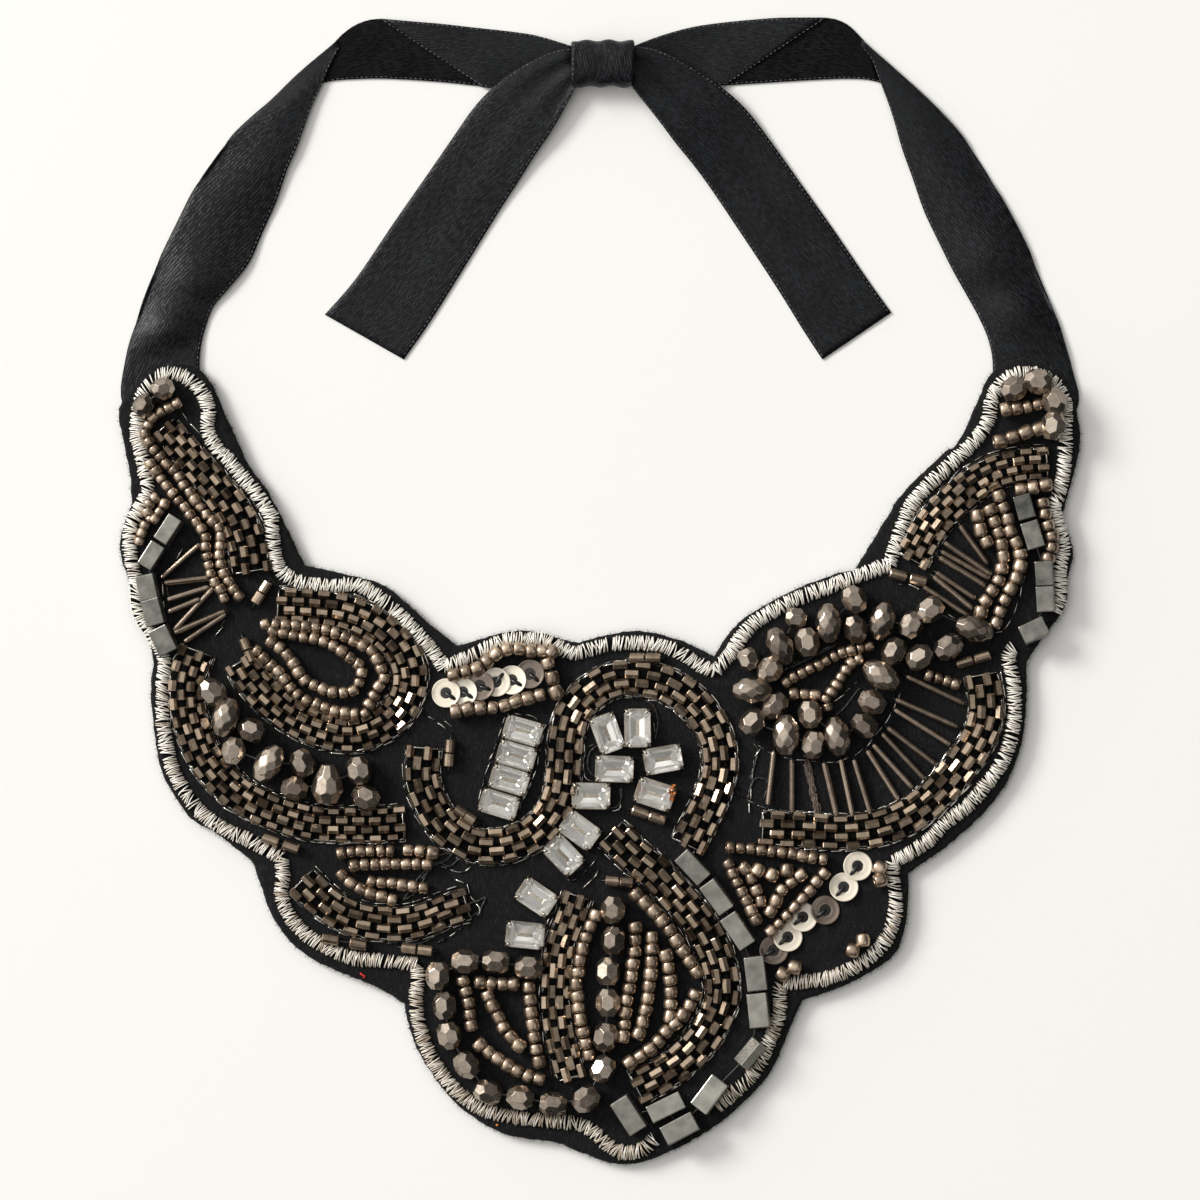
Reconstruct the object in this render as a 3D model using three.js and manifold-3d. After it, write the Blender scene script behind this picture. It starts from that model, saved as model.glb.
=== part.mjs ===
// Bib necklace: a felt panel covered with bead bands, stones and a stitched border, on a satin ribbon.
// Millimetres, +Z up, +Y towards the ribbon's knot. The necklace lies flat with its back on z = 0.

import * as THREE from 'three';
import { mergeVertices } from 'three/addons/utils/BufferGeometryUtils.js';
import Module from 'manifold-3d';

const wasm = await Module();
wasm.setup();

// The bib and its felt
const BIB_WIDTH = 206;
const BIB_HEIGHT = 173;
const FELT_THICKNESS = 2.4;
const SEAT_GAP = 0.3;

// The satin ribbon
const RIBBON_WIDTH = 19;
const RIBBON_THICKNESS = 1;
const RIBBON_RISE = 73.3;
const TAIL_LENGTH = 73;
const KNOT_WIDTH = 13.3;
const KNOT_LENGTH = 9.9;
const KNOT_HEIGHT = 6.4;

// The stitched border and the woven bead bands
const BORDER_WIDTH = 3.6;
const BORDER_HEIGHT = 1.5;
const BAND_WIDTH = 6.8;
const BAND_HEIGHT = 1.9;

// The cut stones and their settings
const STONE_LENGTH = 7.4;
const STONE_WIDTH = 4.6;
const STONE_HEIGHT = 2.6;
const STONE_CORNER = 1.3;
const CLAW_SIZE = 0.5;
const SETTING_FLOOR = 0.8;
const SETTING_RIM = 0.3;

// The block beads, faceted beads, sequins and bugle beads
const BLOCK_LENGTH = 8;
const BLOCK_WIDTH = 4.2;
const BLOCK_HEIGHT = 3.2;
const BLOCK_BEVEL = 0.6;
const ROUND_BEAD = 5.7;
const SMALL_BEAD = 4.4;
const OVAL_LENGTH = 8.5;
const OVAL_WIDTH = 5.6;
const DROP_LENGTH = 8.6;
const SEQUIN_DIAMETER = 6;
const SEQUIN_HOLE = 1.3;
const SEQUIN_THICKNESS = 0.5;
const BUGLE_DIAMETER = 1.4;
const THREAD_DIAMETER = 0.8;

// Steps of the swept pieces
const BAND_STEP = 5;
const BORDER_STEP = 5.5;
const OUTLINE_STEP = 6;
const MERGE_DISTANCE = 1e-4;

// Tables are drawn on a chart whose squares are shares of the named sizes: SQUARES_ACROSS squares span
// BIB_WIDTH, SQUARES_UP squares span BIB_HEIGHT, and the SQUARES_ABOVE squares above span RIBBON_RISE.
const SQUARES_ACROSS = 962;
const SQUARES_UP = 807;
const SQUARES_ABOVE = 342;
const KNOT_CHART = { x: 3, y: 1101 };

const PLATE_BASE = FELT_THICKNESS + SEAT_GAP;

function table(columns, rows) {
  return rows.map((row) => Object.fromEntries(columns.map((name, index) => [name, row[index]])));
}

function place({ x, y }) {
  const above = Math.max(0, y - SQUARES_UP);
  const within = y - above;
  const up = (within * BIB_HEIGHT) / SQUARES_UP + (above * RIBBON_RISE) / SQUARES_ABOVE;
  return new THREE.Vector2((x * BIB_WIDTH) / SQUARES_ACROSS, up);
}

// The felt's outline, clockwise from the left arm's tip; a notch is a sharp inner corner between lobes
const PANEL_OUTLINE = table(['x', 'y', 'notch'], [
  [-424, 803, 0], [-394, 788, 0], [-372, 743, 0], [-352, 700, 0], [-333, 674, 0], [-313, 635, 0],
  [-296, 600, 1], [-255, 591, 0], [-214, 578, 0], [-174, 544, 0],
  [-143, 519, 1], [-98, 532, 0], [-73, 534, 0], [-40, 526, 0],
  [-21, 522, 1], [6, 530, 0], [40, 534, 0], [82, 524, 0],
  [114, 509, 1], [139, 542, 0], [185, 571, 0], [233, 590, 0],
  [255, 595, 1], [288, 648, 0], [302, 670, 0], [343, 711, 0], [358, 721, 0], [376, 758, 0],
  [394, 794, 0], [425, 807, 0], [462, 790, 0], [477, 754, 0], [481, 723, 0], [472, 682, 0],
  [462, 646, 1], [474, 615, 0], [468, 586, 0], [466, 560, 0], [441, 523, 0],
  [427, 503, 1], [427, 465, 0], [421, 416, 0], [398, 368, 0], [354, 324, 0],
  [309, 292, 1], [309, 265, 0], [303, 227, 0], [288, 204, 0], [242, 178, 0],
  [202, 164, 1], [188, 131, 0], [167, 87, 0], [125, 46, 0], [76, 16, 0], [25, 0, 0], [-21, 13, 0],
  [-44, 22, 0], [-99, 32, 0], [-145, 62, 0], [-179, 108, 0], [-191, 138, 0],
  [-196, 161, 1], [-225, 178, 0], [-283, 203, 0], [-311, 224, 0], [-329, 251, 0], [-341, 283, 0],
  [-348, 303, 1], [-382, 330, 0], [-412, 349, 0], [-438, 391, 0], [-446, 430, 0], [-450, 475, 0],
  [-448, 510, 0], [-461, 556, 0], [-474, 590, 0], [-481, 615, 0], [-478, 637, 0],
  [-469, 660, 1], [-471, 692, 0], [-478, 727, 0], [-481, 758, 0], [-458, 787, 0],
]);

// The middle lines of the border's two stretches; a corner is where a new row of stitches begins
const BORDER_MAIN = table(['x', 'y', 'corner'], [
  [55, 27, 0], [43, 16, 0], [27, 12, 0], [11, 18, 0], [-5, 32, 0], [-21, 41, 0], [-71, 46, 0],
  [-99, 50, 0], [-120, 57, 0], [-140, 71, 0], [-159, 92, 0], [-172, 114, 0], [-181, 140, 0],
  [-184, 165, 0], [-182, 188, 0],
  [-184, 201, 1], [-225, 205, 0], [-248, 207, 0], [-269, 215, 0], [-288, 226, 0], [-304, 240, 0],
  [-315, 257, 0], [-319, 274, 0], [-317, 289, 0],
  [-319, 307, 1], [-354, 326, 0], [-374, 335, 0], [-393, 347, 0], [-408, 362, 0], [-419, 379, 0],
  [-429, 399, 0], [-434, 420, 0], [-437, 441, 0], [-438, 483, 0], [-436, 510, 0], [-450, 532, 0],
  [-462, 555, 0], [-465, 586, 0], [-471, 612, 0], [-471, 634, 0], [-461, 656, 0], [-453, 678, 0],
  [-456, 694, 0], [-462, 720, 0], [-463, 744, 0], [-458, 768, 0], [-449, 783, 0], [-436, 791, 0],
  [-423, 791, 0], [-408, 783, 0], [-397, 770, 0], [-392, 754, 0], [-393, 736, 0], [-385, 719, 0],
  [-360, 690, 0], [-339, 664, 0], [-330, 649, 0], [-328, 629, 0], [-326, 613, 0],
  [-320, 594, 1], [-304, 584, 0], [-284, 580, 0], [-244, 580, 0], [-226, 571, 0], [-205, 554, 0],
  [-185, 534, 0], [-170, 517, 0],
  [-156, 498, 1], [-130, 509, 0], [-111, 518, 0], [-92, 525, 0], [-53, 525, 0],
  [-25, 511, 1], [8, 520, 0], [30, 522, 0], [59, 520, 0], [82, 511, 0], [101, 499, 0],
  [115, 494, 1], [131, 512, 0], [149, 537, 0], [173, 554, 0], [197, 566, 0], [250, 586, 0],
  [290, 601, 1], [302, 637, 0], [313, 662, 0], [331, 682, 0], [353, 703, 0], [374, 723, 0],
  [388, 743, 0], [392, 764, 0], [400, 780, 0], [415, 790, 0], [429, 792, 0], [445, 788, 0],
  [458, 778, 0], [466, 760, 0], [466, 719, 0], [464, 694, 0], [460, 674, 0], [456, 652, 0],
  [460, 635, 0], [464, 617, 0], [460, 594, 0], [461, 570, 0], [455, 550, 0],
]);

const BORDER_RIGHT = table(['x', 'y', 'corner'], [
  [411, 516, 0], [413, 489, 0], [415, 448, 0], [410, 421, 0], [400, 399, 0], [386, 380, 0],
  [369, 360, 0], [347, 343, 0], [328, 324, 0], [307, 310, 0],
  [293, 303, 1], [293, 288, 0], [296, 269, 0], [295, 249, 0], [288, 228, 0], [274, 211, 0],
  [255, 198, 0], [232, 188, 0], [209, 184, 0],
  [194, 182, 1], [181, 172, 0], [177, 142, 0], [169, 123, 0], [161, 104, 0], [148, 85, 0],
  [131, 70, 0], [115, 56, 0],
]);

// The bands' middle lines, with their widths at both ends as shares of BAND_WIDTH
const PATH = ['x', 'y'];
const BANDS = {
  band_left_arm: { first: 0.82, last: 1.2, path: table(PATH, [
    [-436, 739], [-410, 708], [-386, 680], [-366, 652], [-354, 623], [-349, 595],
  ]) },
  band_left_eye: { first: 1, last: 1, path: table(PATH, [
    [-323, 560], [-287, 558], [-258, 554], [-232, 544], [-211, 529], [-196, 510], [-190, 485],
    [-198, 460], [-219, 440], [-248, 430], [-278, 435], [-307, 448], [-332, 468], [-350, 488],
    [-360, 504],
  ]) },
  band_left_outer: { first: 1, last: 1, path: table(PATH, [
    [-403, 515], [-413, 487], [-413, 459], [-406, 432], [-394, 405], [-375, 382], [-353, 365],
    [-324, 352], [-290, 342], [-256, 340], [-223, 340], [-196, 342],
  ]) },
  band_centre: { first: 1, last: 1, path: table(PATH, [
    [-176, 418], [-178, 387], [-169, 361], [-154, 338], [-134, 324], [-120, 319], [-95, 320],
    [-71, 329], [-52, 346], [-40, 370], [-36, 400], [-34, 428], [-27, 452], [-10, 472], [13, 485],
    [40, 486], [65, 481], [87, 468], [105, 449], [117, 425], [120, 397], [112, 368], [101, 345],
    [88, 319],
  ]) },
  band_lower_left: { first: 1, last: 0.9, path: table(PATH, [
    [-299, 285], [-278, 265], [-255, 250], [-229, 243], [-200, 241], [-175, 246], [-153, 255],
    [-133, 261],
  ]) },
  band_right_arm: { first: 0.9, last: 1, path: table(PATH, [
    [452, 703], [420, 700], [394, 693], [372, 680], [352, 662], [335, 645], [323, 626], [311, 605],
  ]) },
  band_right_fan: { first: 1, last: 1, path: table(PATH, [
    [382, 491], [386, 467], [385, 443], [375, 420], [360, 398], [343, 378], [323, 359], [300, 345],
    [273, 336], [240, 333], [205, 335], [162, 337],
  ]) },
  band_leaf_spine: { first: 0.8, last: 0.85, path: table(PATH, [
    [-22, 270], [-31, 243], [-40, 217], [-43, 189], [-44, 162], [-41, 134], [-35, 108], [-29, 87],
  ]) },
  band_leaf_arc: { first: 1, last: 1, path: table(PATH, [
    [11, 333], [32, 312], [55, 293], [77, 269], [98, 244], [113, 218], [121, 193], [122, 167],
    [114, 145], [100, 123], [80, 103], [57, 88], [36, 77],
  ]) },
};

// The stones by cluster, across in stone lengths and up in stone pitches from their cluster's middle
const CLUSTERS = {
  column: { x: -88, y: 398 },
  ring: { x: 35, y: 398 },
  leaf: { x: -69, y: 250 },
};
const CRYSTALS = table(['cluster', 'across', 'up', 'turn'], [
  ['column', 0.286, 1.373, -16], ['column', 0.102, 0.412, -16], ['column', -0.083, -0.536, -17],
  ['column', -0.346, -1.456, -17], ['ring', -0.735, 1.304, -70], ['ring', 0.071, 1.489, -89],
  ['ring', 0.739, 0.296, 10], ['ring', -0.55, -0.088, -2], ['ring', -1.156, -1.127, -1],
  ['ring', 0.529, -1.05, -18], ['ring', -1.446, -2.434, -36], ['ring', -1.894, -3.396, -46],
  ['leaf', 0.142, 0.757, -34], ['leaf', -0.161, -0.686, -6],
]);

// The block beads in threading order, with their sizes as shares of the full block
const BLOCK = ['x', 'y', 'turn', 'long', 'wide'];
const BLOCK_STRINGS = {
  hematite_string_left: table(BLOCK, [
    [-431, 635, -123, 0.78, 0.77], [-448, 609, -122, 0.72, 0.82], [-452, 578, -78, 0.67, 0.92],
    [-446, 553, -75, 0.7, 0.97], [-436, 525, -64, 0.72, 1],
  ]),
  hematite_string_right: table(BLOCK, [
    [424.5, 658, -75, 0.64, 0.89], [433, 630, -73, 0.78, 0.92], [445, 592, -86, 0.64, 0.92],
    [446, 566, -87, 0.72, 0.92], [434, 534, 25, 0.72, 0.97],
  ]),
  hematite_string_bottom: table(BLOCK, [
    [93, 298.5, -47, 0.91, 0.92], [117, 269, -54, 0.94, 0.92], [138, 235, -56, 0.99, 0.94],
    [156, 192, -83, 0.91, 1.02], [159, 155, -84, 0.94, 1.02], [150, 112, 50, 0.8, 0.77],
    [110, 71, 53, 0.99, 1.02], [80, 37, 28, 0.96, 1.02], [66, 58, 26, 0.99, 0.92],
    [29, 51, -57, 1.02, 1.02],
  ]),
};

// The faceted beads in threading order
const BEAD_KINDS = {
  round: { long: ROUND_BEAD, wide: ROUND_BEAD },
  small: { long: SMALL_BEAD, wide: SMALL_BEAD },
  oval: { long: OVAL_LENGTH, wide: OVAL_WIDTH },
  drop: { long: DROP_LENGTH, wide: OVAL_WIDTH },
};
const BEAD = ['x', 'y', 'kind', 'turn'];
const BEAD_STRINGS = {
  faceted_string_left: table(BEAD, [
    [-387, 473, 'round', 0], [-374, 448, 'oval', 62], [-348, 435, 'round', 0],
    [-366, 415, 'round', 0], [-331, 402, 'oval', 63], [-297, 402, 'round', 0],
    [-305, 377, 'round', 0], [-272, 381, 'drop', 90], [-241, 395, 'round', 0],
    [-234, 368, 'round', 0],
  ]),
  faceted_string_rosette: table(BEAD, [
    [148.5, 506, 'small', 0], [170, 496, 'round', 0], [180, 519, 'oval', -56],
    [196, 547, 'small', 0], [207, 523, 'round', 0], [228.5, 542, 'oval', -85],
    [254, 565, 'round', 0], [255, 536, 'round', 0], [282, 544, 'oval', 80],
    [311, 540, 'round', 0], [330, 555, 'round', 0], [374, 536, 'oval', -12],
    [348, 518, 'round', 0], [319, 508, 'round', 0], [294, 514, 'round', 0],
    [281, 490, 'oval', -30], [272, 463, 'round', 0], [264, 440, 'round', 0],
    [237, 429, 'oval', -70], [210, 451, 'round', 0], [213, 421, 'round', 0],
    [186, 430.5, 'oval', 82], [153, 443, 'round', 0], [175, 460, 'round', 0],
    [152, 475, 'oval', 0],
  ]),
  faceted_string_leaf: table(BEAD, [
    [16, 256, 'round', 0], [13.5, 225, 'round', 0], [8, 194, 'round', 0], [8, 163, 'round', 0],
    [5.5, 129, 'round', 0], [3, 97, 'round', 0], [-14, 67, 'round', 0], [-47, 62, 'round', 0],
    [-79.5, 68.5, 'round', 0], [-112, 74, 'round', 0], [-133, 101, 'round', 0],
    [-151, 130.5, 'round', 0], [-155, 160, 'round', 0], [-162, 190, 'round', 0],
    [-135, 204, 'round', 0], [-104, 204, 'round', 0], [-71, 198, 'round', 0],
  ]),
  faceted_string_left_tip: table(BEAD, [
    [-456, 759, 'small', 0], [-437, 776, 'small', 0],
  ]),
  faceted_string_right_tip: table(BEAD, [
    [414, 776, 'round', 0], [438, 783, 'round', 0], [454, 763, 'round', 0], [453, 739, 'round', 0],
  ]),
};

const SEQUIN_ROWS = {
  sequins_top: table(PATH, [[-154, 472], [-137, 472], [-121, 480], [-103, 483], [-88, 485], [-69, 492]]),
  sequins_right: table(PATH, [[258, 299], [244, 278], [225.5, 255], [202, 246], [187, 225], [175, 212]]),
};

// The bugle beads, from their inner to their outer ends
const BUGLE = ['x', 'y', 'endX', 'endY'];
const BUGLE_FANS = {
  bugles_left_arm: table(BUGLE, [
    [-400, 621, -436, 590], [-391, 587, -433, 580], [-391, 574, -430, 565], [-400, 566, -430, 553],
    [-387, 560, -425, 536], [-375, 554, -420, 528],
  ]),
  bugles_right_arm: table(BUGLE, [
    [360, 640, 388, 601], [346, 622, 390, 592], [342, 612, 388, 584], [338, 602, 382, 577],
    [335, 591, 376, 567], [333, 581, 370, 557],
  ]),
  bugles_right_fan: table(BUGLE, [
    [306, 489, 363, 462], [297, 470, 356, 440], [292, 456, 349, 422], [287, 440, 335, 402],
    [281, 431, 324, 388], [274, 421, 312, 377], [267, 413, 299, 365], [254, 406, 271, 354],
    [240, 405, 252, 351], [224, 403, 236, 350], [208, 403, 219, 350], [192, 405, 192, 353],
    [175, 413, 169, 361],
  ]),
};

// The strap, from under the arm's tip to the turned corner: its middle, the direction across it from its
// outer edge, its seen width as a share of RIBBON_WIDTH, and its heights in ribbon thicknesses
const STRAP = ['x', 'y', 'turn', 'wide', 'arch', 'layers'];
const STRAP_LEFT = table(STRAP, [
  [-431, 745, 13, 0.8, 0, 1], [-440, 783, 14, 0.9, 0, 1], [-436, 817, 4, 0.81, 0, 1],
  [-426, 852, -8, 0.77, 2.8, 1], [-417, 879, -24, 0.83, 2.4, 1], [-393, 916, -30, 0.86, 1.6, 1],
  [-370, 957, -30, 0.85, 1, 1], [-356, 985, -37, 0.81, 1, 1.3], [-337, 1012, -41, 0.68, 0.8, 1.6],
  [-321, 1036, -47, 0.52, 0.6, 2], [-304, 1061, -46, 0.36, 0.4, 2], [-288, 1084, -43, 0.23, 0.3, 2],
  [-275, 1104, -38, 0.13, 0, 2], [-264, 1123, -50, 0.06, 0, 2], [-257, 1128, -50, 0.06, 0, 2],
]);
const STRAP_RIGHT = table(STRAP, [
  [-432, 745, 10, 0.8, 0, 1], [-437, 781, 15, 0.98, 0, 1], [-431, 815, 7, 0.93, 0, 1],
  [-422, 845, -8, 0.85, 2.4, 1], [-411, 872, -16, 0.84, 2.4, 1], [-399, 896, -21, 0.87, 1.8, 1],
  [-372, 946, -27, 0.95, 1, 1], [-353, 980, -32, 0.84, 1, 1.2], [-337, 1007, -37, 0.69, 0.8, 1.6],
  [-321, 1033, -41, 0.57, 0.6, 2], [-306, 1056, -45, 0.43, 0.4, 2], [-295, 1077, -46, 0.31, 0.3, 2],
  [-284, 1093, -57, 0.23, 0.2, 2], [-275, 1109, -60, 0.14, 0, 2], [-264, 1124, -60, 0.06, 0, 2],
  [-257, 1128, -60, 0.06, 0, 2],
]);

// The ribbon's level run to the knot by its top edge: the bottom edge lies shift ribbon widths nearer
// the knot and deep ribbon widths lower; the turned run carries on from the corner's diagonal edge
const RUN = ['x', 'y', 'shift', 'deep', 'lift'];
const CORNER_RUN = table(RUN, [
  [-260, 1129, -0.2, 0.51, 0], [-244, 1140, -0.12, 0.6, 0], [-222, 1148, 0.08, 0.68, 0],
  [-190, 1146, 0.34, 0.7, 0], [-160, 1144, 0.54, 0.73, 0],
]);
const TURNED_RUN = table(RUN, [
  [-218, 1147, 1.1, 0.745, 0.9], [-190, 1146, 0.86, 0.745, 0.9], [-160, 1144, 0.587, 0.745, 0.3],
  [-118, 1139, 0.339, 0.7, 0], [-78, 1133, 0.226, 0.632, 0],
]);
const RUN_END = { rise: 0.2, deep: 0.384, lift: 0.6 };

// The tails from the knot's side, in shares of TAIL_LENGTH
const TAIL = ['x', 'y', 'turn', 'wide', 'lift'];
const TAIL_LEFT = table(TAIL, [
  [-0.018, -0.012, -77, 0.44, 2.3], [-0.109, -0.093, -56, 0.77, 1.8], [-0.146, -0.132, -44, 0.81, 1.5],
  [-0.215, -0.228, -34, 0.87, 0.7], [-0.312, -0.371, -33, 0.91, 0], [-0.424, -0.532, -33, 0.95, 0],
  [-0.531, -0.696, -32, 0.97, 0], [-0.613, -0.801, -30, 1, 0],
]);
const TAIL_RIGHT = table(TAIL, [
  [-0.018, -0.012, -77, 0.44, 2.3], [-0.093, -0.053, -58, 0.66, 2.1], [-0.146, -0.099, -55, 0.73, 2],
  [-0.191, -0.143, -48, 0.8, 2], [-0.303, -0.26, -39, 0.87, 0.6], [-0.429, -0.435, -32, 0.9, 0],
  [-0.554, -0.634, -27, 0.92, 0], [-0.657, -0.797, -34, 0.94, 0],
]);

// The knot's girth along its width
const KNOT_ROWS = table(['across', 'girth'], [[-0.5, 0.68], [-0.28, 0.97], [0.25, 1], [0.5, 0.7]]);
const KNOT_SIDES = 10;

// Cross-sections: across in widths, up in heights
const DOME = table(['across', 'up'], [
  [-0.5, 0], [-0.46, 0.5], [-0.22, 0.94], [0.22, 0.94], [0.46, 0.5], [0.5, 0],
]);
const CORD_DOME = table(['across', 'up'], [[-0.5, 0], [-0.28, 0.95], [0.28, 0.95], [0.5, 0]]);
const SQUARE = table(['across', 'up'], [[-0.5, 0], [-0.5, 1], [0.5, 1], [0.5, 0]]);

const material = (color, roughness, metalness) => new THREE.MeshStandardMaterial({
  color, roughness, metalness,
});
const MATERIALS = {
  felt: material(0x1b1b1c, 0.95, 0),
  satin: material(0x161719, 0.5, 0),
  stitch: material(0xb9b3a8, 0.45, 0.6),
  bronze: material(0x5d5248, 0.4, 0.7),
  crystal: material(0xd9dde0, 0.05, 0.1),
  setting: material(0xa39a86, 0.35, 0.9),
  hematite: material(0x7d7f77, 0.45, 0.5),
  gunmetal: material(0x57493d, 0.25, 0.7),
  sequin: material(0xd8cfbd, 0.35, 0.2),
};

// Solids
function enclosedVolume(geometry) {
  const point = geometry.getAttribute('position');
  const index = geometry.getIndex();
  const [a, b, c] = [new THREE.Vector3(), new THREE.Vector3(), new THREE.Vector3()];
  let volume = 0;
  for (let corner = 0; corner < index.count; corner += 3) {
    a.fromBufferAttribute(point, index.getX(corner));
    b.fromBufferAttribute(point, index.getX(corner + 1));
    c.fromBufferAttribute(point, index.getX(corner + 2));
    volume += a.dot(b.cross(c)) / 6;
  }
  return volume;
}

// A closed body through rings of as many points each; its ends close across from first to last point
function loft(rings) {
  const sides = rings[0].length;
  const faces = [];
  for (let ring = 0; ring + 1 < rings.length; ring += 1) {
    for (let side = 0; side < sides; side += 1) {
      const a = ring * sides + side;
      const b = ring * sides + ((side + 1) % sides);
      faces.push(a, b, b + sides, a, b + sides, a + sides);
    }
  }
  const last = (rings.length - 1) * sides;
  for (let low = 0, high = sides - 1; high - low > 1; low += 1, high -= 1) {
    faces.push(low, high, low + 1);
    faces.push(last + low, last + low + 1, last + high);
    if (high - low > 2) {
      faces.push(low + 1, high, high - 1);
      faces.push(last + low + 1, last + high - 1, last + high);
    }
  }
  const geometry = new THREE.BufferGeometry().setFromPoints(rings.flat());
  geometry.setIndex(faces);
  if (enclosedVolume(geometry) < 0) {
    geometry.setIndex(faces.reverse());
  }
  return geometry;
}

function toSolid(geometry) {
  const bare = geometry.clone();
  bare.deleteAttribute('normal');
  bare.deleteAttribute('uv');
  const merged = mergeVertices(bare, MERGE_DISTANCE);
  return new wasm.Manifold(new wasm.Mesh({
    numProp: 3,
    vertProperties: new Float32Array(merged.getAttribute('position').array),
    triVerts: new Uint32Array(merged.getIndex().array),
  }));
}

function toGeometry(solid) {
  const mesh = solid.getMesh();
  const geometry = new THREE.BufferGeometry();
  geometry.setAttribute('position', new THREE.BufferAttribute(new Float32Array(mesh.vertProperties), 3));
  geometry.setIndex(new THREE.BufferAttribute(new Uint32Array(mesh.triVerts), 1));
  geometry.computeVertexNormals();
  return geometry;
}

// What is left of a piece that gives way to its neighbours, without the crumbs
function largest(solid) {
  return solid.decompose().reduce((best, body) => (body.volume() > best.volume() ? body : best));
}

function join(geometries) {
  return geometries.map(toSolid).reduce((whole, part) => whole.add(part));
}

// A curve through a chart's rows, cut at its marked corners into smooth stretches
function stretches(rows, mark, closed) {
  const parts = [[]];
  rows.forEach((row, index) => {
    parts.at(-1).push(place(row));
    if (index > 0 && row[mark]) {
      parts.push([place(row)]);
    }
  });
  if (closed) {
    const first = rows.findIndex((row, index) => index > 0 && row[mark]);
    if (first > 0) {
      const head = parts.shift();
      parts.at(-1).push(...head);
    }
  }
  return parts.filter((part) => part.length > 1).map((part) => new THREE.CatmullRomCurve3(
    part.map(({ x, y }) => new THREE.Vector3(x, y, 0)), false, 'centripetal',
  ));
}

// A section swept along a curve that lies on the felt
function sweep(curve, { widthAt, height, base, section, step }) {
  const count = Math.max(2, Math.ceil(curve.getLength() / step));
  const rings = [];
  for (let index = 0; index <= count; index += 1) {
    const share = index / count;
    const middle = curve.getPointAt(share);
    const along = curve.getTangentAt(share);
    rings.push(section.map(({ across, up }) => new THREE.Vector3(
      middle.x - along.y * across * widthAt(share),
      middle.y + along.x * across * widthAt(share),
      base + up * height,
    )));
  }
  return loft(rings);
}

function turned(geometry, x, y, z, degrees) {
  geometry.rotateZ(THREE.MathUtils.degToRad(degrees));
  geometry.translate(x, y, z);
  return geometry;
}

function thread(from, to) {
  const run = to.clone().sub(from);
  const geometry = new THREE.CylinderGeometry(THREAD_DIAMETER / 2, THREAD_DIAMETER / 2, run.length(), 4);
  const aim = new THREE.Quaternion().setFromUnitVectors(new THREE.Vector3(0, 1, 0), run.normalize());
  geometry.applyQuaternion(aim);
  const middle = from.clone().add(to).multiplyScalar(0.5);
  geometry.translate(middle.x, middle.y, middle.z);
  return geometry;
}

function threadThrough(points) {
  return points.slice(1).map((point, index) => thread(points[index], point));
}

// Beads and stones lie along X before they are turned
function facetedBead(long, wide, drop = false) {
  const profile = table(['radius', 'along'], drop
    ? [[0, -0.5], [0.5, -0.14], [0.4, 0.14], [0.12, 0.46], [0, 0.5]]
    : [[0, -0.5], [0.46, -0.24], [0.46, 0.24], [0, 0.5]]);
  const outline = profile.map(({ radius, along }) => new THREE.Vector2(radius * wide, along * long));
  return new THREE.LatheGeometry(outline, 10).rotateZ(-Math.PI / 2);
}

function eightSided(long, wide, corner, z) {
  const [x, y] = [long / 2, wide / 2];
  return [
    [x, y - corner], [x - corner, y], [-x + corner, y], [-x, y - corner],
    [-x, -y + corner], [-x + corner, -y], [x - corner, -y], [x, -y + corner],
  ].map(([px, py]) => new THREE.Vector3(px, py, z));
}

function cutStone() {
  const rings = table(['size', 'up'], [[0.55, 0], [1, 0.5], [1, 0.64], [0.68, 1]]);
  return loft(rings.map(({ size, up }) => eightSided(
    STONE_LENGTH * size, STONE_WIDTH * size, STONE_CORNER * size, STONE_HEIGHT * up,
  )));
}

const SETTING_LENGTH = STONE_LENGTH + 2 * SETTING_RIM;
const SETTING_WIDTH = STONE_WIDTH + 2 * SETTING_RIM;

function clawSetting() {
  const floor = new THREE.BoxGeometry(SETTING_LENGTH, SETTING_WIDTH, SETTING_FLOOR);
  floor.translate(0, 0, SETTING_FLOOR / 2);
  const clawHeight = SETTING_FLOOR + SEAT_GAP + STONE_HEIGHT * 0.85;
  const claws = [];
  for (const side of [-1, 1]) {
    for (const end of [-1, 1]) {
      const claw = new THREE.BoxGeometry(CLAW_SIZE, CLAW_SIZE, clawHeight);
      const x = end * (SETTING_LENGTH - CLAW_SIZE) / 2;
      const y = side * (SETTING_WIDTH - CLAW_SIZE) / 2;
      claws.push(claw.translate(x, y, clawHeight / 2));
    }
  }
  return join([floor, ...claws]);
}

function blockBead(long, wide, extra = 0) {
  const section = eightSided(wide + extra, BLOCK_HEIGHT + extra, BLOCK_BEVEL, 0);
  const ends = table(['along', 'size'], [[-0.5, 0.8], [-0.42, 1], [0.42, 1], [0.5, 0.8]]);
  return loft(ends.map(({ along, size }) => section.map((point) => new THREE.Vector3(
    along * (long + extra), point.x * size, point.y * size,
  ))));
}

function blockString(rows, extra = 0) {
  const height = PLATE_BASE + BLOCK_HEIGHT / 2;
  const beads = rows.map((row) => {
    const { x, y } = place(row);
    const bead = blockBead(row.long * BLOCK_LENGTH, row.wide * BLOCK_WIDTH, extra);
    return turned(bead, x, y, height, row.turn);
  });
  const centres = rows.map((row) => new THREE.Vector3(place(row).x, place(row).y, height));
  return join([...beads, ...threadThrough(centres)]);
}

function beadString(rows, extra = 0) {
  const beads = [];
  const centres = [];
  for (const row of rows) {
    const { long, wide } = BEAD_KINDS[row.kind];
    const { x, y } = place(row);
    const z = PLATE_BASE + wide / 2;
    beads.push(turned(facetedBead(long + extra, wide + extra, row.kind === 'drop'), x, y, z, row.turn));
    centres.push(new THREE.Vector3(x, y, PLATE_BASE + ROUND_BEAD / 2));
  }
  return join([...beads, ...threadThrough(centres)]);
}

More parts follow.
